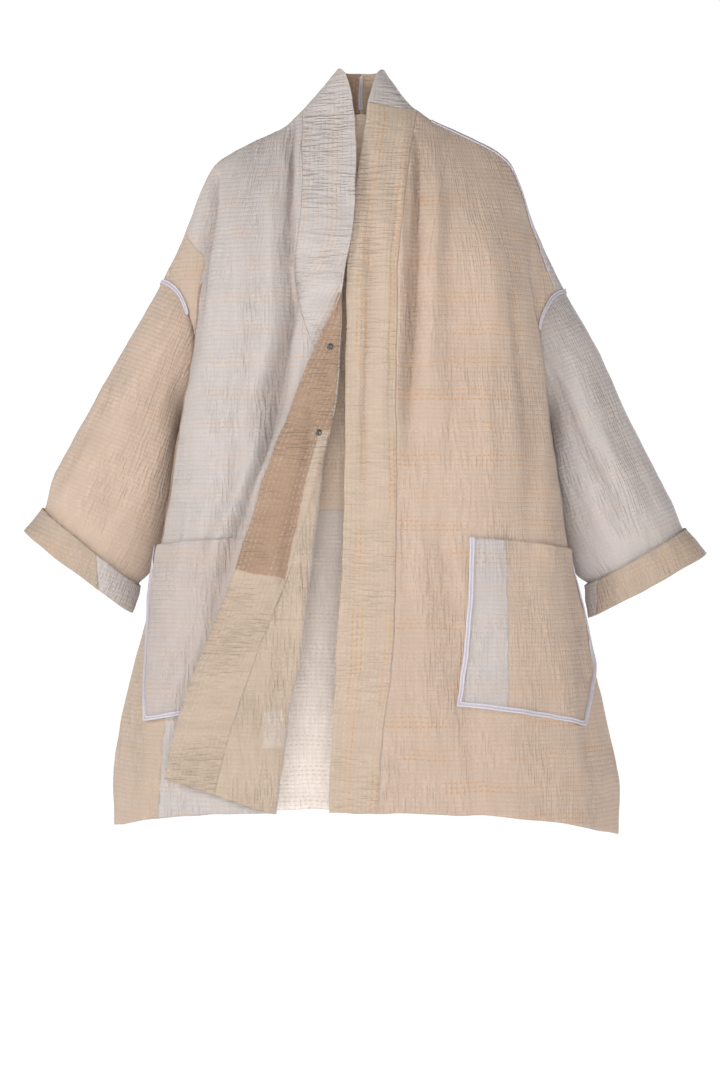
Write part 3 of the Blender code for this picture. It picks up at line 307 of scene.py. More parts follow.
# How much sideways distance counts in the level direction out of the body
SIDE_SHARE = 0.28

# Distances down a sleeve and down the coat over which the cuff's puckers and the hem's waves come in
CUFF_FADE = (0.12, 0.22)
HEM_FADE = (0.70, 0.92)

# Half the coat's depth, and distances from its middle over which the way round its sides comes in
HALF_DEPTH = 0.13
ROUND_SIDE_FADE = (0.07, 0.20)

# Uneven relief: its height in metres, and how many times a metre it changes on each axis
RIPPLES = {"height": 0.0011, "grain": (42, 30, 9)}
FINE_RIPPLES = {"height": 0.0006, "grain": (95, 60, 26)}
WAVES = {"height": 0.0016, "grain": (16, 12, 4)}
BAND_PUCKERS = {"height": 0.0009, "grain": (14, 8, 75)}
SLEEVE_WAVES = {"height": 0.0014, "grain": (20, 8, 8)}
SLEEVE_RIPPLES = {"height": 0.0009, "grain": (55, 18, 20)}
CUFF_PUCKERS = {"height": 0.0007, "grain": (30, 80, 20)}
EDGE_RIPPLES = {"height": 0.0013, "grain": (30, 18, 34)}
EDGE_WAVES = {"height": 0.0018, "grain": (9, 9, 9)}
HEM_RIPPLES = {"height": 0.0011, "grain": (40, 24, 30)}
HEM_WAVES = {"height": 0.0030, "grain": (13, 13, 6)}


def smooth(values, start, end):
    """Soft step from 0 at start to 1 at end."""
    t = np.clip((values - start) / (end - start), 0.0, 1.0)
    return t * t * (3 - 2 * t)


def rough(places, relief, offset=0.0):
    """Uneven heights at places; an offset in metres gives the same relief elsewhere in the noise."""
    scaled = (places + offset) * np.array(relief["grain"])
    return relief["height"] * np.array([noise.noise(Vector(place)) for place in scaled])


def crease_ends(part, coming_in, going_out):
    """Comes in at a crease's start and dies away at its end."""
    return smooth(part, *coming_in) * (1 - smooth(part, *going_out))


# Soft relief that all layers of the coat share, so that none cuts through another
def crease_heights(places):
    """Height of the body's long creases."""
    heights = np.zeros(len(places))
    for face, (top_x, top_z), (low_x, low_z), bow, width, height in BODY_CREASES:
        part = (places[:, 2] - top_z) / (low_z - top_z)
        middle = top_x + (low_x - top_x) * part + bow * np.sin(np.clip(part, 0, 1) * math.pi * 2)
        spread = width * (1 + WIDTH_SWING * np.sin(part * 7 + top_x * 40))
        ends = crease_ends(part, CREASE_IN, CREASE_OUT)
        side = smooth(places[:, 1] * face, *FACE_FADE)
        heights += height * np.exp(-((places[:, 0] - middle) / spread) ** 2) * ends * side
    return heights


def body_relief(places):
    """How far the body's cloth is moved outwards from its plain form."""
    ripples = rough(places, RIPPLES) + rough(places, FINE_RIPPLES)
    across = np.exp(-((np.abs(places[:, 0]) - BAND_MIDDLE) / BAND_SPREAD) ** 2)
    puckers = rough(places, BAND_PUCKERS) * across * smooth(-places[:, 1], *BAND_FADE)
    return crease_heights(places) + ripples + rough(places, WAVES) + puckers


def body_outward(places):
    """Level direction away from the middle of the body."""
    outward = np.stack([places[:, 0] * SIDE_SHARE, places[:, 1], np.zeros(len(places))], axis=1)
    return outward / np.maximum(np.linalg.norm(outward, axis=1, keepdims=True), 1e-6)


def sleeve_frame(side, places):
    """Distance along the sleeve, angle round it and direction away from its axis."""
    start = np.array(SLEEVE_AXES[side]["start"])
    end = np.array(SLEEVE_AXES[side]["end"])
    axis = (end - start) / np.linalg.norm(end - start)
    outer = np.array([-axis[1], axis[0]]) * (-1 if side == "right" else 1)
    flat = places[:, [0, 2]] - start
    along = flat @ axis
    out = flat @ outer
    angle = np.arctan2(-places[:, 1], out)
    away = np.stack([out * outer[0], places[:, 1], out * outer[1]], axis=1)
    away /= np.maximum(np.linalg.norm(away, axis=1, keepdims=True), 1e-6)
    return along, angle, away


def sleeve_relief(side, places, along, angle):
    """How far a sleeve's cloth is moved away from its axis."""
    heights = np.zeros(len(places))
    for crease in SLEEVE_CREASES[side]:
        start, end = crease["along"]
        part = (along - start) / (end - start)
        middle = crease["angle"][0] + (crease["angle"][1] - crease["angle"][0]) * part
        apart = (angle - middle + math.pi) % (2 * math.pi) - math.pi
        ends = crease_ends(part, SLEEVE_CREASE_IN, SLEEVE_CREASE_OUT)
        heights += crease["height"] * np.exp(-(apart * SLEEVE_RADIUS / crease["width"]) ** 2) * ends
    round_it = np.stack([angle * SLEEVE_RADIUS, along, places[:, 1]], axis=1)
    heights += rough(round_it, SLEEVE_WAVES) + rough(round_it, SLEEVE_RIPPLES)
    return heights + rough(round_it, CUFF_PUCKERS) * smooth(along, *CUFF_FADE)


def fold_depth(kind, places):
    """How deep a place lies in a fold, from 0 to 1."""
    depth = -crease_heights(places) / FULL_FOLD
    if kind in ("right", "left"):
        along, angle, _ = sleeve_frame(kind, places)
        share = smooth(along, 0.0, ARMHOLE_FADE)
        depth = depth * (1 - share) - sleeve_relief(kind, places, along, angle) / FULL_SLEEVE_FOLD * share
    return np.clip(depth, 0.0, 1.0)


def wobble(places):
    """Small sideways and upward moves that make seams, edges and the hem uneven."""
    sideways = rough(places, EDGE_RIPPLES) + rough(places, EDGE_WAVES, 5.0)
    low = smooth(-places[:, 2], *HEM_FADE)
    upward = rough(places, HEM_RIPPLES, 11.0) + low * rough(places, HEM_WAVES, 17.0)
    return np.stack([sideways, np.zeros(len(places)), upward], axis=1)


def relieved(kind, places):
    """Places of a piece after the cloth's relief."""
    moved = wobble(places)
    body = places + moved + body_outward(places) * body_relief(places)[:, None]
    if kind in ("right", "left"):
        along, angle, away = sleeve_frame(kind, places)
        sleeve = places + moved + away * sleeve_relief(kind, places, along, angle)[:, None]
        share = smooth(along, 0.0, ARMHOLE_FADE)[:, None]
        share = np.maximum(share, smooth(np.abs(places[:, 0]), *SLEEVE_STARTS_OUT)[:, None])
        return body * (1 - share) + sleeve * share
    return body


# Cloth coordinates, in metres: u runs along the stitch rows and v across them
def body_cloth(places):
    """Level rows, with the way round the coat's sides added to their length."""
    from_middle = smooth(np.abs(places[:, 0]), *ROUND_SIDE_FADE)
    round_side = np.maximum(HALF_DEPTH - np.abs(places[:, 1]), 0) * from_middle
    u = places[:, 0] + np.sign(places[:, 0]) * round_side
    return np.stack([u, places[:, 2]], axis=1)


def sleeve_cloth(side, places):
    """Rows round the sleeve."""
    along, angle, _ = sleeve_frame(side, places)
    return np.stack([angle * SLEEVE_RADIUS, along], axis=1)


def right_sleeve_cloth(places):
    return sleeve_cloth("right", places)


def left_sleeve_cloth(places):
    return sleeve_cloth("left", places)


def left_band_cloth(places):
    """Rows along the left band, counted from its seam."""
    seam = BAND_EDGES.at(-places[:, 2], "left_seam")
    return np.stack([places[:, 2], places[:, 0] - seam], axis=1)


def right_band_cloth(places):
    """Rows along the right band, counted from its free edge."""
    free = BAND_EDGES.at(-places[:, 2], "right_free")
    return np.stack([places[:, 2], np.abs(places[:, 0] - free)], axis=1)


# Walls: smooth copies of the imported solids
def packed_mesh(node):
    """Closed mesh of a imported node, with its doubled points joined."""
    mesh = bmesh.new()
    mesh.from_mesh(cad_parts[node].data)
    bmesh.ops.remove_doubles(mesh, verts=mesh.verts, dist=1e-5)
    return mesh


def under_layer():
    """Search tree of the right front and its band, to tell the turned layer from the one under it."""
    both = bmesh.new()
    for node in TURNED_NODES:
        both.from_mesh(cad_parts[node].data)
    tree = BVHTree.FromBMesh(both)
    both.free()
    return tree


def is_right_side(face, outward, layers):
    """True where a face belongs to the cloth's right side, also on the turned layer."""
    centre = face.calc_center_median()
    inward = -Vector(outward(np.array([centre]))[0])
    faces_out = face.normal.dot(inward) < 0
    start = centre + inward * (WALL * 1.5 if faces_out else WALL * 0.2)
    may_turn = layers is not None and centre.z < TURN_STARTS_UP
    turned = may_turn and layers.ray_cast(start, inward, LAYERS_APART)[0] is not None
    return faces_out != turned


def refined_wall(node, levels, outward, layers):
    """Smooth, fine copy of a node's wall with the reverse of its cloth in material slot 1."""
    mesh = packed_mesh(node)
    bmesh.ops.join_triangles(mesh, faces=mesh.faces, angle_face_threshold=JOIN_BEND,
                             angle_shape_threshold=JOIN_SKEW)
    crease = mesh.edges.layers.float.new("crease_edge")
    for face in mesh.faces:
        face.material_index = 0 if is_right_side(face, outward, layers) else 1
        face.smooth = True
    for edge in mesh.edges:
        if len(edge.link_faces) == 2 and edge.calc_face_angle() > SHARP:
            edge[crease] = 1.0
    coarse = bpy.data.meshes.new(node + "_coarse")
    mesh.to_mesh(coarse)
    mesh.free()
    piece = bpy.data.objects.new(node + "_coarse", coarse)
    bpy.context.collection.objects.link(piece)
    steps = piece.modifiers.new("steps", "SUBSURF")
    steps.levels = levels
    steps.render_levels = levels
    steps.uv_smooth = "NONE"
    shaped = piece.evaluated_get(bpy.context.evaluated_depsgraph_get())
    fine = bpy.data.meshes.new_from_object(shaped)
    bpy.data.objects.remove(piece)
    return fine


def read_places(mesh):
    """Points of a mesh, one row each."""
    places = np.empty(len(mesh.vertices) * 3)
    mesh.vertices.foreach_get("co", places)
    return places.reshape(-1, 3)


def add_map(mesh, name, per_point):
    """Stores a coordinate for each point as a UV map."""
    layer = mesh.uv_layers.new(name=name)
    corners = np.empty(len(mesh.loops), dtype=np.int32)
    mesh.loops.foreach_get("vertex_index", corners)
    layer.uv.foreach_set("vector", per_point[corners].astype(np.float32).ravel())


def rim_marks(node):
    """Search tree of marks along the sharp edges of a node."""
    solid = packed_mesh(node)
    marks = []
    for edge in solid.edges:
        if len(edge.link_faces) == 2 and edge.calc_face_angle() > SHARP:
            first, second = edge.verts[0].co, edge.verts[1].co
            steps = max(1, round((second - first).length / MARK_STEP))
            marks += [first.lerp(second, step / steps) for step in range(steps + 1)]
    solid.free()
    tree = KDTree(len(marks))
    for index, mark in enumerate(marks):
        tree.insert(mark, index)
    tree.balance()
    return tree


def from_strip_edge(node, places):
    """Distance of places from the nearest edge of a node's strip, as cloth coordinates."""
    marks = rim_marks(node)
    apart = [marks.find(Vector(place))[2] for place in places]
    return np.stack([apart, np.zeros(len(places))], axis=1)


def narrowed(pocket, places):
    """Places of a binding, none further in than its width from the rim of its pocket."""
    marks = rim_marks(pocket)
    kept = []
    for place in places:
        rim, _, apart = marks.find(Vector(place))
        kept.append(rim + (Vector(place) - rim) * min(1.0, BINDING_REACH / max(apart, 1e-6)))
    return np.array([list(place) for place in kept])


def cloth_piece(node, levels, kind, cloth, outside, inside):
    """One piece of cloth that stands for a node, with its coordinates stored before its relief."""
    if kind == "body":
        outward = body_outward
    else:
        def outward(places):
            return sleeve_frame(kind, places)[2]
    layers = turned_layers if node in TURNED_NODES else None
    mesh = refined_wall(node, levels, outward, layers)
    places = read_places(mesh)
    add_map(mesh, "cloth", cloth(places) if cloth else from_strip_edge(node, places))
    if node in BOUND_POCKETS:
        places = narrowed(BOUND_POCKETS[node], places)
    add_map(mesh, "place", places[:, [0, 2]])
    depth = fold_depth(kind, places)
    add_map(mesh, "fold", np.stack([depth, depth], axis=1))
    mesh.vertices.foreach_set("co", relieved(kind, places).ravel())
    mesh.materials.append(outside)
    mesh.materials.append(inside)
    mesh.name = "cloth_" + node
    piece = bpy.data.objects.new("cloth_" + node, mesh)
    bpy.context.collection.objects.link(piece)
    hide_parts(node)
    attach(piece, "root")
    return piece


# Materials
class Graph:
    """Short calls for the nodes of one material."""

    def __init__(self, name, roughness):
        self.material = bpy.data.materials.new(name)
        self.material.use_nodes = True
        self.tree = self.material.node_tree
        self.shader = self.tree.nodes["Principled BSDF"]
        self.shader.inputs["Roughness"].default_value = roughness

    def node(self, kind, **settings):
        """New node with its settings."""
        made = self.tree.nodes.new(kind)
        for key, value in settings.items():
            setattr(made, key, value)
        return made

    def feed(self, socket, value):
        """Links a socket to another one, or sets its number or colour."""
        if isinstance(value, bpy.types.NodeSocket):
            self.tree.links.new(value, socket)
        elif isinstance(value, tuple) and len(value) == 3 and socket.type == "RGBA":
            socket.default_value = (*value, 1.0)
        else:
            socket.default_value = value

    def math(self, operation, *values):
        made = self.node("ShaderNodeMath", operation=operation)
        for socket, value in zip(made.inputs, values):
            self.feed(socket, value)
        return made.outputs[0]

    def step(self, value, start, end):
        """Soft step from 0 at start to 1 at end."""
        made = self.node("ShaderNodeMapRange", interpolation_type="SMOOTHSTEP")
        for name, number in (("Value", value), ("From Min", start), ("From Max", end)):
            self.feed(made.inputs[name], number)
        return made.outputs[0]

    def mix(self, share, first, second):
        made = self.node("ShaderNodeMix", data_type="RGBA")
        self.feed(made.inputs[0], share)
        self.feed(made.inputs[6], first)
        self.feed(made.inputs[7], second)
        return made.outputs[2]

    def shade(self, colour, factor):
        """Colour multiplied by a factor."""
        made = self.node("ShaderNodeVectorMath", operation="SCALE")
        self.feed(made.inputs[0], colour)
        self.feed(made.inputs["Scale"], factor)
        return made.outputs[0]

    def filtered(self, colour, tint):
        """Colour multiplied by another one."""
        made = self.node("ShaderNodeVectorMath", operation="MULTIPLY")
        self.feed(made.inputs[0], colour)
        self.feed(made.inputs[1], tint)
        return made.outputs[0]

    def map(self, name):
        """First and second coordinate of a UV map."""
        made = self.node("ShaderNodeUVMap", uv_map=name)
        parts = self.node("ShaderNodeSeparateXYZ")
        self.tree.links.new(made.outputs[0], parts.inputs[0])
        return parts.outputs[0], parts.outputs[1]

    def join(self, first, second):
        """Vector of two coordinates."""
        made = self.node("ShaderNodeCombineXYZ")
        self.feed(made.inputs[0], first)
        self.feed(made.inputs[1], second)
        return made.outputs[0]

    def noise(self, first, second, scales, detail=2.0):
        """Noise at two coordinates, each with its own scale; detail is its number of finer layers."""
        made = self.node("ShaderNodeTexNoise", noise_dimensions="2D")
        made.inputs["Scale"].default_value = 1.0
        made.inputs["Detail"].default_value = detail
        first = self.math("MULTIPLY", first, scales[0])
        second = self.math("MULTIPLY", second, scales[1])
        self.tree.links.new(self.join(first, second), made.inputs["Vector"])
        return made.outputs[0]

    def chance(self, value):
        """One random number for each whole number."""
        made = self.node("ShaderNodeTexWhiteNoise", noise_dimensions="1D")
        self.feed(made.inputs["W"], value)
        return made.outputs[0]

    def bump(self, height, distance, strength):
        """Raises the surface by a height, in steps of a distance in metres."""
        made = self.node("ShaderNodeBump")
        made.inputs["Distance"].default_value = distance
        made.inputs["Strength"].default_value = strength
        self.tree.links.new(height, made.inputs["Height"])
        self.tree.links.new(made.outputs[0], self.shader.inputs["Normal"])

    def less(self, whole, taken, share):
        """A whole, less a share of what is taken."""
        return self.math("SUBTRACT", whole, self.math("MULTIPLY", taken, share))

    def plus(self, whole, added, share):
        """A whole, with a share of what is added."""
        return self.math("ADD", whole, self.math("MULTIPLY", added, share))

    def line_side(self, across, up, line):
        """Signed distance from a line, positive on its left going from its start to its end."""
        (start_x, start_z), (end_x, end_z) = line
        length = math.hypot(end_x - start_x, end_z - start_z)
        along = ((end_x - start_x) / length, (end_z - start_z) / length)
        first = self.math("MULTIPLY", self.math("SUBTRACT", up, start_z), along[0])
        second = self.math("MULTIPLY", self.math("SUBTRACT", across, start_x), along[1])
        return self.math("SUBTRACT", first, second)


def seam_distance(graph, across, up, seam):
    """Distance from a straight seam between two places."""
    (start_x, start_z), (end_x, end_z) = seam
    run = (end_x - start_x, end_z - start_z)
    from_x = graph.math("SUBTRACT", across, start_x)
    from_z = graph.math("SUBTRACT", up, start_z)
    square = run[0] ** 2 + run[1] ** 2
    share = graph.plus(graph.math("MULTIPLY", from_x, run[0] / square), from_z, run[1] / square)
    share = graph.math("MINIMUM", graph.math("MAXIMUM", share, 0.0), 1.0)
    off_x = graph.math("POWER", graph.less(from_x, share, run[0]), 2.0)
    off_z = graph.math("POWER", graph.less(from_z, share, run[1]), 2.0)
    return graph.math("SQRT", graph.math("ADD", off_x, off_z))


def patched_ground(graph, ground, patches, seams):
    """Ground colour with its patches, and a groove height along their seams."""
    across, up = graph.map("place")
    uneven = graph.math("SUBTRACT", graph.noise(across, up, SWAY_GRAIN), 0.5)
    sway = graph.math("MULTIPLY", uneven, SEAM_SWAY)
    colour = ground
    groove = 0.0
    for patch in patches:
        inside = None
        for line in patch["lines"]:
            distance = graph.math("ADD", graph.line_side(across, up, line), sway)
            inside = distance if inside is None else graph.math("MINIMUM", inside, distance)
        blur = patch.get("blur", PATCH_BLUR)
        colour = graph.mix(graph.step(inside, -blur, blur), colour, patch["colour"])
        seam = graph.math("SUBTRACT", 1.0, graph.step(graph.math("ABSOLUTE", inside), *PATCH_GROOVE))
        groove = graph.math("MAXIMUM", groove, graph.math("MULTIPLY", seam, patch.get("seam", 0.6)))
    for seam in seams:
        distance = seam_distance(graph, across, up, seam)
        line = graph.math("SUBTRACT", 1.0, graph.step(distance, *SEAM_GROOVE))
        groove = graph.math("MAXIMUM", groove, graph.math("MULTIPLY", line, 0.5))
    return colour, groove


def stitched_rows(graph, u, v, shift):
    """Number of the row, distance from its thread, and where a stitch shows."""
    row = graph.math("ADD", graph.math("DIVIDE", v, ROW_STEP), shift)
    number = graph.math("FLOOR", row)
    off_row = graph.math("ABSOLUTE", graph.math("SUBTRACT", graph.math("FRACT", row), 0.5))
    half = THREAD_HALF_WIDTH / ROW_STEP
    thread = graph.math("SUBTRACT", 1.0, graph.step(off_row, half * THREAD_EDGE[0], half * THREAD_EDGE[1]))
    pitch = graph.plus(graph.math("DIVIDE", u, STITCH_PITCH), graph.noise(u, v, PITCH_GRAIN, 1.0), 0.8)
    along = graph.math("FRACT", graph.math("ADD", pitch, graph.chance(number)))
    stitch_end = graph.math("SUBTRACT", 1.0, graph.step(along, *STITCH_END))
    dash = graph.math("MULTIPLY", graph.step(along, *STITCH_START), stitch_end)
    return number, off_row, graph.math("MULTIPLY", thread, dash)


def thread_tint(graph, u, v, number, share):
    """How much of the tinted thread shows, by row, by group of rows and by where it has faded."""
    in_group = graph.math("FLOORED_MODULO", number, float(ROWS_IN_GROUP))
    group = graph.math("FLOOR", graph.math("DIVIDE", number, float(ROWS_IN_GROUP)))
    strength = graph.step(graph.chance(graph.math("ADD", group, 0.37)), *TINT_STRENGTH)
    fading = graph.step(graph.noise(u, v, FADING_GRAIN), *TINT_FADING)
    tint = graph.math("MULTIPLY", graph.math("LESS_THAN", in_group, TINTED_ROWS - 0.5), strength)
    return graph.math("MULTIPLY", graph.math("MULTIPLY", tint, fading), share)


def quilt_height(graph, u, v, off_row, depth, crinkle):
    """Cloth puffed between its rows, and gathered along them most of all in folds."""
    gathers = graph.step(graph.noise(u, v, GATHER_GRAIN, 1.0), *GATHER_RISE)
    uneven = graph.step(graph.noise(u, v, DRAWN_GRAIN), *DRAWN_RISE)
    drawn = graph.plus(LEAST_DRAWN, uneven, UNEVEN_DRAWN)
    drawn = graph.plus(drawn, depth, FOLD_DRAWN)
    gathers = graph.math("MULTIPLY", gathers, drawn)
    creping = graph.step(graph.noise(u, v, CREPE_GRAIN), *CREPE_RISE)
    flat = graph.less(1.0, off_row, 2.0)
    puff = graph.math("SUBTRACT", 1.0, graph.math("POWER", flat, 2.0))
    height = graph.math("MULTIPLY", puff, graph.plus(PUFF, gathers, GATHERED_PUFF * crinkle))
    height = graph.plus(height, creping, CREPE * crinkle)
    return graph.plus(height, gathers, GATHERS * crinkle)


def quilt(name, ground, patches=(), seams=(), thread=WHITE_THREAD, tint=ORANGE_THREAD, tint_share=0.75,
          shift=0.0, crinkle=1.0, stain=0.10):
    """Layered cotton with rows of running stitches, puffed between them and crinkled."""
    graph = Graph(name, 0.93)
    graph.shader.inputs["Sheen Weight"].default_value = 0.18
    graph.shader.inputs["Sheen Roughness"].default_value = 0.55
    graph.shader.inputs["Specular IOR Level"].default_value = 0.18
    u, v = graph.map("cloth")
    depth, _ = graph.map("fold")
    colour, groove = patched_ground(graph, ground, patches, seams)
    wander = graph.math("SUBTRACT", graph.noise(u, v, WANDER_GRAIN, 1.0), 0.5)
    v = graph.plus(v, wander, ROW_WANDER)
    number, off_row, stitch = stitched_rows(graph, u, v, shift)
    height = quilt_height(graph, u, v, off_row, depth, crinkle)
    height = graph.less(height, stitch, STITCH_DENT)
    height = graph.less(height, groove, SEAM_DENT)
    graph.bump(height, PUCKER_DEPTH, 1.0)
    blotch = graph.noise(u, v, BLOTCH_GRAIN, 4.0)
    colour = graph.shade(colour, graph.less(1.0 + stain / 2, blotch, stain))
    raised = graph.step(height, *HEIGHT_RANGE)
    colour = graph.shade(colour, graph.plus(HOLLOW_SHADE, raised, HEIGHT_SHADE))
    # Painted shade: darker and warmer the deeper the cloth lies in a fold
    shaded_in_folds = graph.filtered(colour, FOLD_SHADE_TINT)
    colour = graph.mix(graph.math("MULTIPLY", depth, FOLD_SHADE), colour, shaded_in_folds)
    colour = graph.shade(colour, graph.less(1.0, groove, GROOVE_SHADE))
    tinting = thread_tint(graph, u, v, number, tint_share)
    cover = graph.math("MULTIPLY", stitch, graph.plus(PLAIN_COVER, tinting, TINTED_COVER))
    colour = graph.mix(cover, colour, graph.mix(tinting, thread, tint))
    graph.feed(graph.shader.inputs["Base Color"], colour)
    return graph.material


def binding_cloth():
    """Narrow white cotton strips, plain woven, with fine puckers across them."""
    graph = Graph("binding_cotton", 0.88)
    graph.shader.inputs["Sheen Weight"].default_value = 0.12
    graph.shader.inputs["Specular IOR Level"].default_value = 0.2
    across, up = graph.map("place")
    from_edge, _ = graph.map("cloth")
    warp = graph.math("SINE", graph.math("MULTIPLY", across, WEAVE_TURNS))
    weft = graph.math("SINE", graph.math("MULTIPLY", up, WEAVE_TURNS))
    weave = graph.math("MULTIPLY", warp, weft)
    puckers = graph.noise(across, up, STRIP_GRAIN)
    stitched = graph.step(from_edge, *STRIP_STITCH)
    height = graph.plus(puckers, weave, 0.08)
    height = graph.less(height, stitched, 1.2)
    graph.bump(height, STRIP_DEPTH, 0.8)
    # Painted shade: lighter on the raised puckers, and darker past the line of stitches where the strip is
    # sunk
    shade = graph.plus(0.90, puckers, 0.16)
    shade = graph.math("MULTIPLY", shade, graph.less(1.0, stitched, 0.18))
    graph.feed(graph.shader.inputs["Base Color"], graph.shade(BINDING, shade))
    return graph.material


def snap_metal():
    """Dark plated metal with fine handling marks."""
    graph = Graph("snap_gunmetal", 0.34)
    graph.shader.inputs["Metallic"].default_value = 1.0
    place = graph.node("ShaderNodeTexCoord")
    marks = graph.node("ShaderNodeTexNoise")
    marks.inputs["Scale"].default_value = 900.0
    marks.inputs["Detail"].default_value = 3.0
    graph.tree.links.new(place.outputs["Object"], marks.inputs["Vector"])
    worn = graph.step(marks.outputs[0], 0.45, 0.70)
    graph.feed(graph.shader.inputs["Base Color"], graph.mix(worn, GUNMETAL, WORN_METAL))
    graph.feed(graph.shader.inputs["Roughness"], graph.plus(0.26, worn, 0.22))
    graph.bump(marks.outputs[0], 0.00005, 0.3)
    return graph.material


# Patches: each colour lies on the left of all its lines, which join two places (x and height, in metres)
RIGHT_FRONT_PATCHES = [
    {"colour": BEIGE, "lines": [((-0.2140, -0.1963), (-0.2330, -0.1670)),
                                ((-0.2255, -0.2850), (-0.2190, -0.1960)),
                                ((-0.3000, -0.2900), (-0.2000, -0.2900))]},
    {"colour": BEIGE, "lines": [((-0.2703, -0.9480), (-0.2500, -0.7000)),
                                ((-0.2500, -0.6900), (-0.3400, -0.6900))]},
]
LEFT_FRONT_SEAMS = [((0.1195, -0.040), (0.0935, -0.175)), ((0.0935, -0.175), (0.0885, -0.225))]
FLAP_PATCHES = [
    {"colour": LIGHT_TAN, "seam": 0.35, "lines": [((-0.0560, -0.430), (-0.0967, -0.602)),
                                                  ((-0.1200, -0.680), (0.0000, -0.680)),
                                                  ((0.0000, -0.425), (-0.1200, -0.437))]},
    {"colour": LIGHT_TAN, "seam": 0.35, "lines": [((-0.070, -0.632), (-0.107, -0.625)),
                                                   ((-0.107, -0.625), (-0.167, -0.602))]},
    {"colour": FADED_TAN, "seam": 0.1, "blur": 0.004, "lines": [
        ((-0.102, -0.846), (-0.102, -0.800)), ((-0.102, -0.800), (-0.130, -0.800)),
        ((-0.130, -0.800), (-0.130, -0.850)), ((-0.130, -0.850), (-0.102, -0.850))]},
]
# The back's reverse: the white below is a painted-lit copy of the off-white
LIT_BACK_INSIDE_PATCHES = [{"colour": LIT_INSIDE_WHITE, "lines": [((0.300, -0.533), (-0.300, -0.533))]}]
BACK_PATCHES = [
    {"colour": CREAM, "lines": [((0.040, -1.000), (0.046, -0.430)),
                                ((-0.300, -0.430), (0.300, -0.430))]},
    {"colour": BEIGE, "lines": [((-0.110, -0.620), (-0.400, -0.612)),
                                ((-0.118, -1.000), (-0.110, -0.560))]},
]
LEFT_POCKET_PATCHES = [{"colour": CREAM, "lines": [((0.1930, -0.560), (0.1955, -0.840))]}]
RIGHT_CUFF_PATCHES = [{"colour": OFF_WHITE, "lines": [((-0.358, -0.560), (-0.353, -0.700))]}]
LEFT_CUFF_PATCHES = [{"colour": OFF_WHITE, "lines": [((0.318, -0.720), (0.324, -0.560))]}]

materials = {
    "right_front": quilt("quilt_right_front", OFF_WHITE, RIGHT_FRONT_PATCHES),
    "left_front": quilt("quilt_left_front", CREAM, seams=LEFT_FRONT_SEAMS, tint_share=0.9),
    "back": quilt("quilt_back", OFF_WHITE, BACK_PATCHES),
    "flap": quilt("quilt_flap", TAN, FLAP_PATCHES, tint=BROWN_THREAD, crinkle=1.7, stain=0.22),
    "flap_band": quilt("quilt_flap_band", TAN, FLAP_PATCHES, tint=BROWN_THREAD, crinkle=1.7, stain=0.22),
    "reverse": quilt("quilt_reverse", PALE_CREAM, tint_share=0.5, stain=0.14),
    # Painted light: the back's reverse in brighter copies of its cloth and thread
    "lit_back_reverse": quilt("quilt_back_reverse", LIT_INSIDE_CREAM, LIT_BACK_INSIDE_PATCHES, thread=LIT_INSIDE_THREAD,
                          tint_share=0.5),
    "collar_reverse": quilt("quilt_collar_reverse", TAUPE, tint=BROWN_THREAD, crinkle=1.2),
    "right_band": quilt("quilt_right_band", OFF_WHITE, crinkle=1.9, shift=2.0),
    "left_band": quilt("quilt_left_band", PALE_CREAM, tint_share=0.95, shift=2.0),
    "cream_sleeve": quilt("quilt_cream_sleeve", CREAM),
    "white_sleeve": quilt("quilt_white_sleeve", OFF_WHITE, tint_share=0.6),
    "right_cuff": quilt("quilt_right_cuff", CUFF_BEIGE, RIGHT_CUFF_PATCHES, crinkle=1.2, stain=0.16),
    "left_cuff": quilt("quilt_left_cuff", CUFF_BEIGE, LEFT_CUFF_PATCHES, crinkle=1.2, stain=0.16),
    "right_pocket": quilt("quilt_right_pocket", SHADED_POCKET_WHITE),
    "left_pocket": quilt("quilt_left_pocket", OFF_WHITE, LEFT_POCKET_PATCHES),
    "binding": binding_cloth(),
    "snap": snap_metal(),
}


# Pieces: node, steps of refining, form whose relief it follows, cloth coordinates, slot and materials of
# its right side and its reverse; a binding has no cloth coordinates but the distance from its edges
CLOTH_PIECES = [
    ("back", 2, "body", body_cloth, "quilt_white", "back", "lit_back_reverse"),
    ("front_right", 3, "body", body_cloth, "quilt_white", "right_front", "flap"),
    ("front_left", 3, "body", body_cloth, "quilt_cream", "left_front", "reverse"),
    ("band_right", 3, "body", right_band_cloth, "quilt_white", "right_band", "flap_band"),
    ("band_left", 3, "body", left_band_cloth, "quilt_cream", "left_band", "reverse"),
    ("collar_left", 3, "body", right_band_cloth, "quilt_white", "right_band", "collar_reverse"),
    ("sleeve_right", 2, "right", right_sleeve_cloth, "quilt_cream", "cream_sleeve", "reverse"),
    ("sleeve_left", 2, "left", left_sleeve_cloth, "quilt_white", "white_sleeve", "reverse"),
    ("cuff_right", 3, "right", right_sleeve_cloth, "quilt_beige", "right_cuff", "right_cuff"),
    ("cuff_left", 3, "left", left_sleeve_cloth, "quilt_beige", "left_cuff", "left_cuff"),
    ("pocket_right", 3, "body", body_cloth, "quilt_white", "right_pocket", "reverse"),
    ("pocket_left", 3, "body", body_cloth, "quilt_white", "left_pocket", "reverse"),
    ("pocket_binding_right", 3, "body", None, "binding_white", "binding", "binding"),
    ("pocket_binding_left", 3, "body", None, "binding_white", "binding", "binding"),
    ("armhole_binding_right", 3, "body", None, "binding_white", "binding", "binding"),
    ("armhole_binding_left", 3, "body", None, "binding_white", "binding", "binding"),
    ("shoulder_binding_left", 3, "body", None, "binding_white", "binding", "binding"),
    ("collar_binding", 3, "body", None, "binding_white", "binding", "binding"),
]
turned_layers = under_layer()
for node, levels, kind, cloth, slot, outside, inside in CLOTH_PIECES:
    cloth_piece(node, levels, kind, cloth, materials[outside], materials[inside])


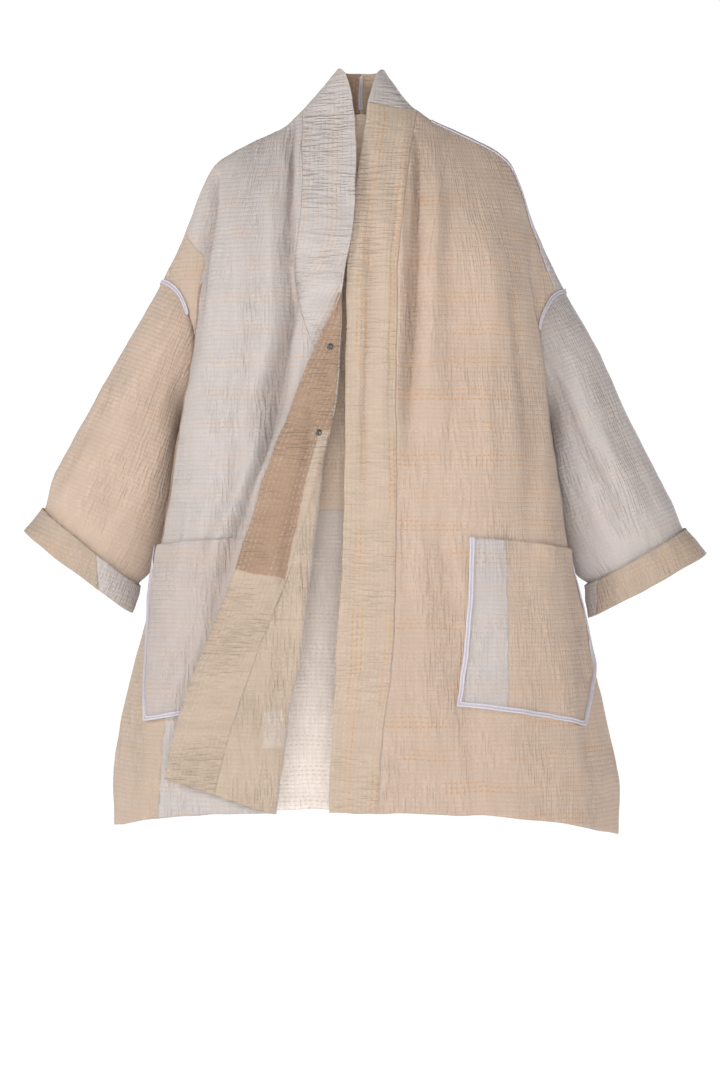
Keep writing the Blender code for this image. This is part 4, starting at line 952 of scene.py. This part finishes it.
# Press studs: radius and height of each turned profile, in metres
SNAP_PROFILE = [
    (0.00000, 0.00045), (0.00085, 0.00045), (0.00110, 0.00075), (0.00170, 0.00080), (0.00195, 0.00150),
    (0.00235, 0.00165), (0.00275, 0.00150), (0.00300, 0.00095), (0.00355, 0.00085), (0.00400, 0.00060),
    (0.00420, 0.00030), (0.00415, 0.00000),
]
SNAP_SIDES = 40


def build_snap(node):
    """Turned ring of a press stud on the reverse of the right front."""
    solid = read_places(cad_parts[node].data)
    centre = solid.mean(axis=0)
    axis = np.linalg.svd(solid - centre, full_matrices=False)[2][2]
    axis = axis if axis[1] < 0 else -axis
    depth = ((solid - centre) @ axis).min()
    moved = relieved("body", centre[None, :])[0]
    side = np.cross(axis, (0.0, 0.0, 1.0))
    side /= np.linalg.norm(side)
    up = np.cross(side, axis)
    mesh = bmesh.new()
    rings = []
    for radius, height in SNAP_PROFILE:
        ring = []
        for step in range(SNAP_SIDES if radius > 0 else 1):
            turn = 2 * math.pi * step / SNAP_SIDES
            place = moved + axis * (depth + height) + radius * (side * math.cos(turn) + up * math.sin(turn))
            ring.append(mesh.verts.new(place))
        rings.append(ring)
    for inner, outer in zip(rings, rings[1:]):
        for step in range(SNAP_SIDES):
            after = (step + 1) % SNAP_SIDES
            if len(inner) == 1:
                mesh.faces.new([inner[0], outer[step], outer[after]])
            else:
                mesh.faces.new([inner[step], outer[step], outer[after], inner[after]])
    mesh.faces.new(rings[-1])
    bmesh.ops.recalc_face_normals(mesh, faces=mesh.faces)
    for face in mesh.faces:
        face.smooth = len(face.verts) < 5
    turned = bpy.data.meshes.new("stud_" + node)
    mesh.to_mesh(turned)
    mesh.free()
    turned.materials.append(materials["snap"])
    piece = bpy.data.objects.new("stud_" + node, turned)
    bpy.context.collection.objects.link(piece)
    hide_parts(node)
    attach(piece, "root")


for name in ("snap_upper", "snap_lower"):
    build_snap(name)


# Studio
def add_floor():
    """Pale round floor that reaches as far as the horizon's glow."""
    mesh = bpy.data.meshes.new("floor")
    ring = [(FLOOR_RADIUS * math.cos(turn), FLOOR_RADIUS * math.sin(turn), FLOOR_UP)
            for turn in np.linspace(0, 2 * math.pi, FLOOR_CORNERS, endpoint=False)]
    mesh.from_pydata(ring, [], [tuple(range(len(ring)))])
    floor = bpy.data.objects.new("floor", mesh)
    bpy.context.collection.objects.link(floor)
    paper = Graph("floor_paper", 0.95)
    paper.shader.inputs["Base Color"].default_value = (0.50, 0.50, 0.50, 1.0)
    paper.shader.inputs["Specular IOR Level"].default_value = 0.0
    paper.shader.inputs["Emission Color"].default_value = (1.0, 1.0, 1.0, 1.0)
    paper.shader.inputs["Emission Strength"].default_value = FLOOR_GLOW
    mesh.materials.append(paper.material)


def add_light(name, place, aim, size, power):
    """Round soft lamp that faces what it aims at."""
    lamp = bpy.data.lights.new(name, "AREA")
    lamp.shape = "DISK"
    lamp.size = size
    lamp.energy = power
    light = bpy.data.objects.new(name, lamp)
    light.location = place
    light.rotation_euler = (Vector(aim) - Vector(place)).to_track_quat("-Z", "Y").to_euler()
    bpy.context.collection.objects.link(light)


def add_camera():
    """Level camera at the photo's angle."""
    lens = bpy.data.cameras.new("camera")
    lens.lens = CAMERA_LENS
    lens.sensor_fit = "VERTICAL"
    lens.sensor_height = SENSOR_LONG_SIDE
    camera = bpy.data.objects.new("camera", lens)
    camera.location = CAMERA_PLACE
    camera.rotation_euler = (math.pi / 2, 0.0, 0.0)
    bpy.context.collection.objects.link(camera)
    bpy.context.scene.camera = camera


def add_world():
    """Soft even light with a white glow just above the horizon, all the way round."""
    world = bpy.data.worlds.new("studio")
    world.use_nodes = True
    tree = world.node_tree
    place = tree.nodes.new("ShaderNodeTexCoord")
    parts = tree.nodes.new("ShaderNodeSeparateXYZ")
    band = tree.nodes.new("ShaderNodeMapRange")
    band.interpolation_type = "SMOOTHSTEP"
    band.inputs["From Min"].default_value = GLOW_FADE[0]
    band.inputs["From Max"].default_value = GLOW_FADE[1]
    band.inputs["To Min"].default_value = HORIZON_GLOW
    band.inputs["To Max"].default_value = SKY_GLOW
    tree.links.new(place.outputs["Generated"], parts.inputs[0])
    tree.links.new(parts.outputs[2], band.inputs["Value"])
    tree.nodes["Background"].inputs["Color"].default_value = (1.0, 1.0, 1.0, 1.0)
    tree.links.new(band.outputs[0], tree.nodes["Background"].inputs["Strength"])
    bpy.context.scene.world = world


add_floor()
for name, lamp in LAMPS.items():
    add_light(name, **lamp)
add_camera()
add_world()
bpy.context.scene.view_settings.view_transform = "Standard"
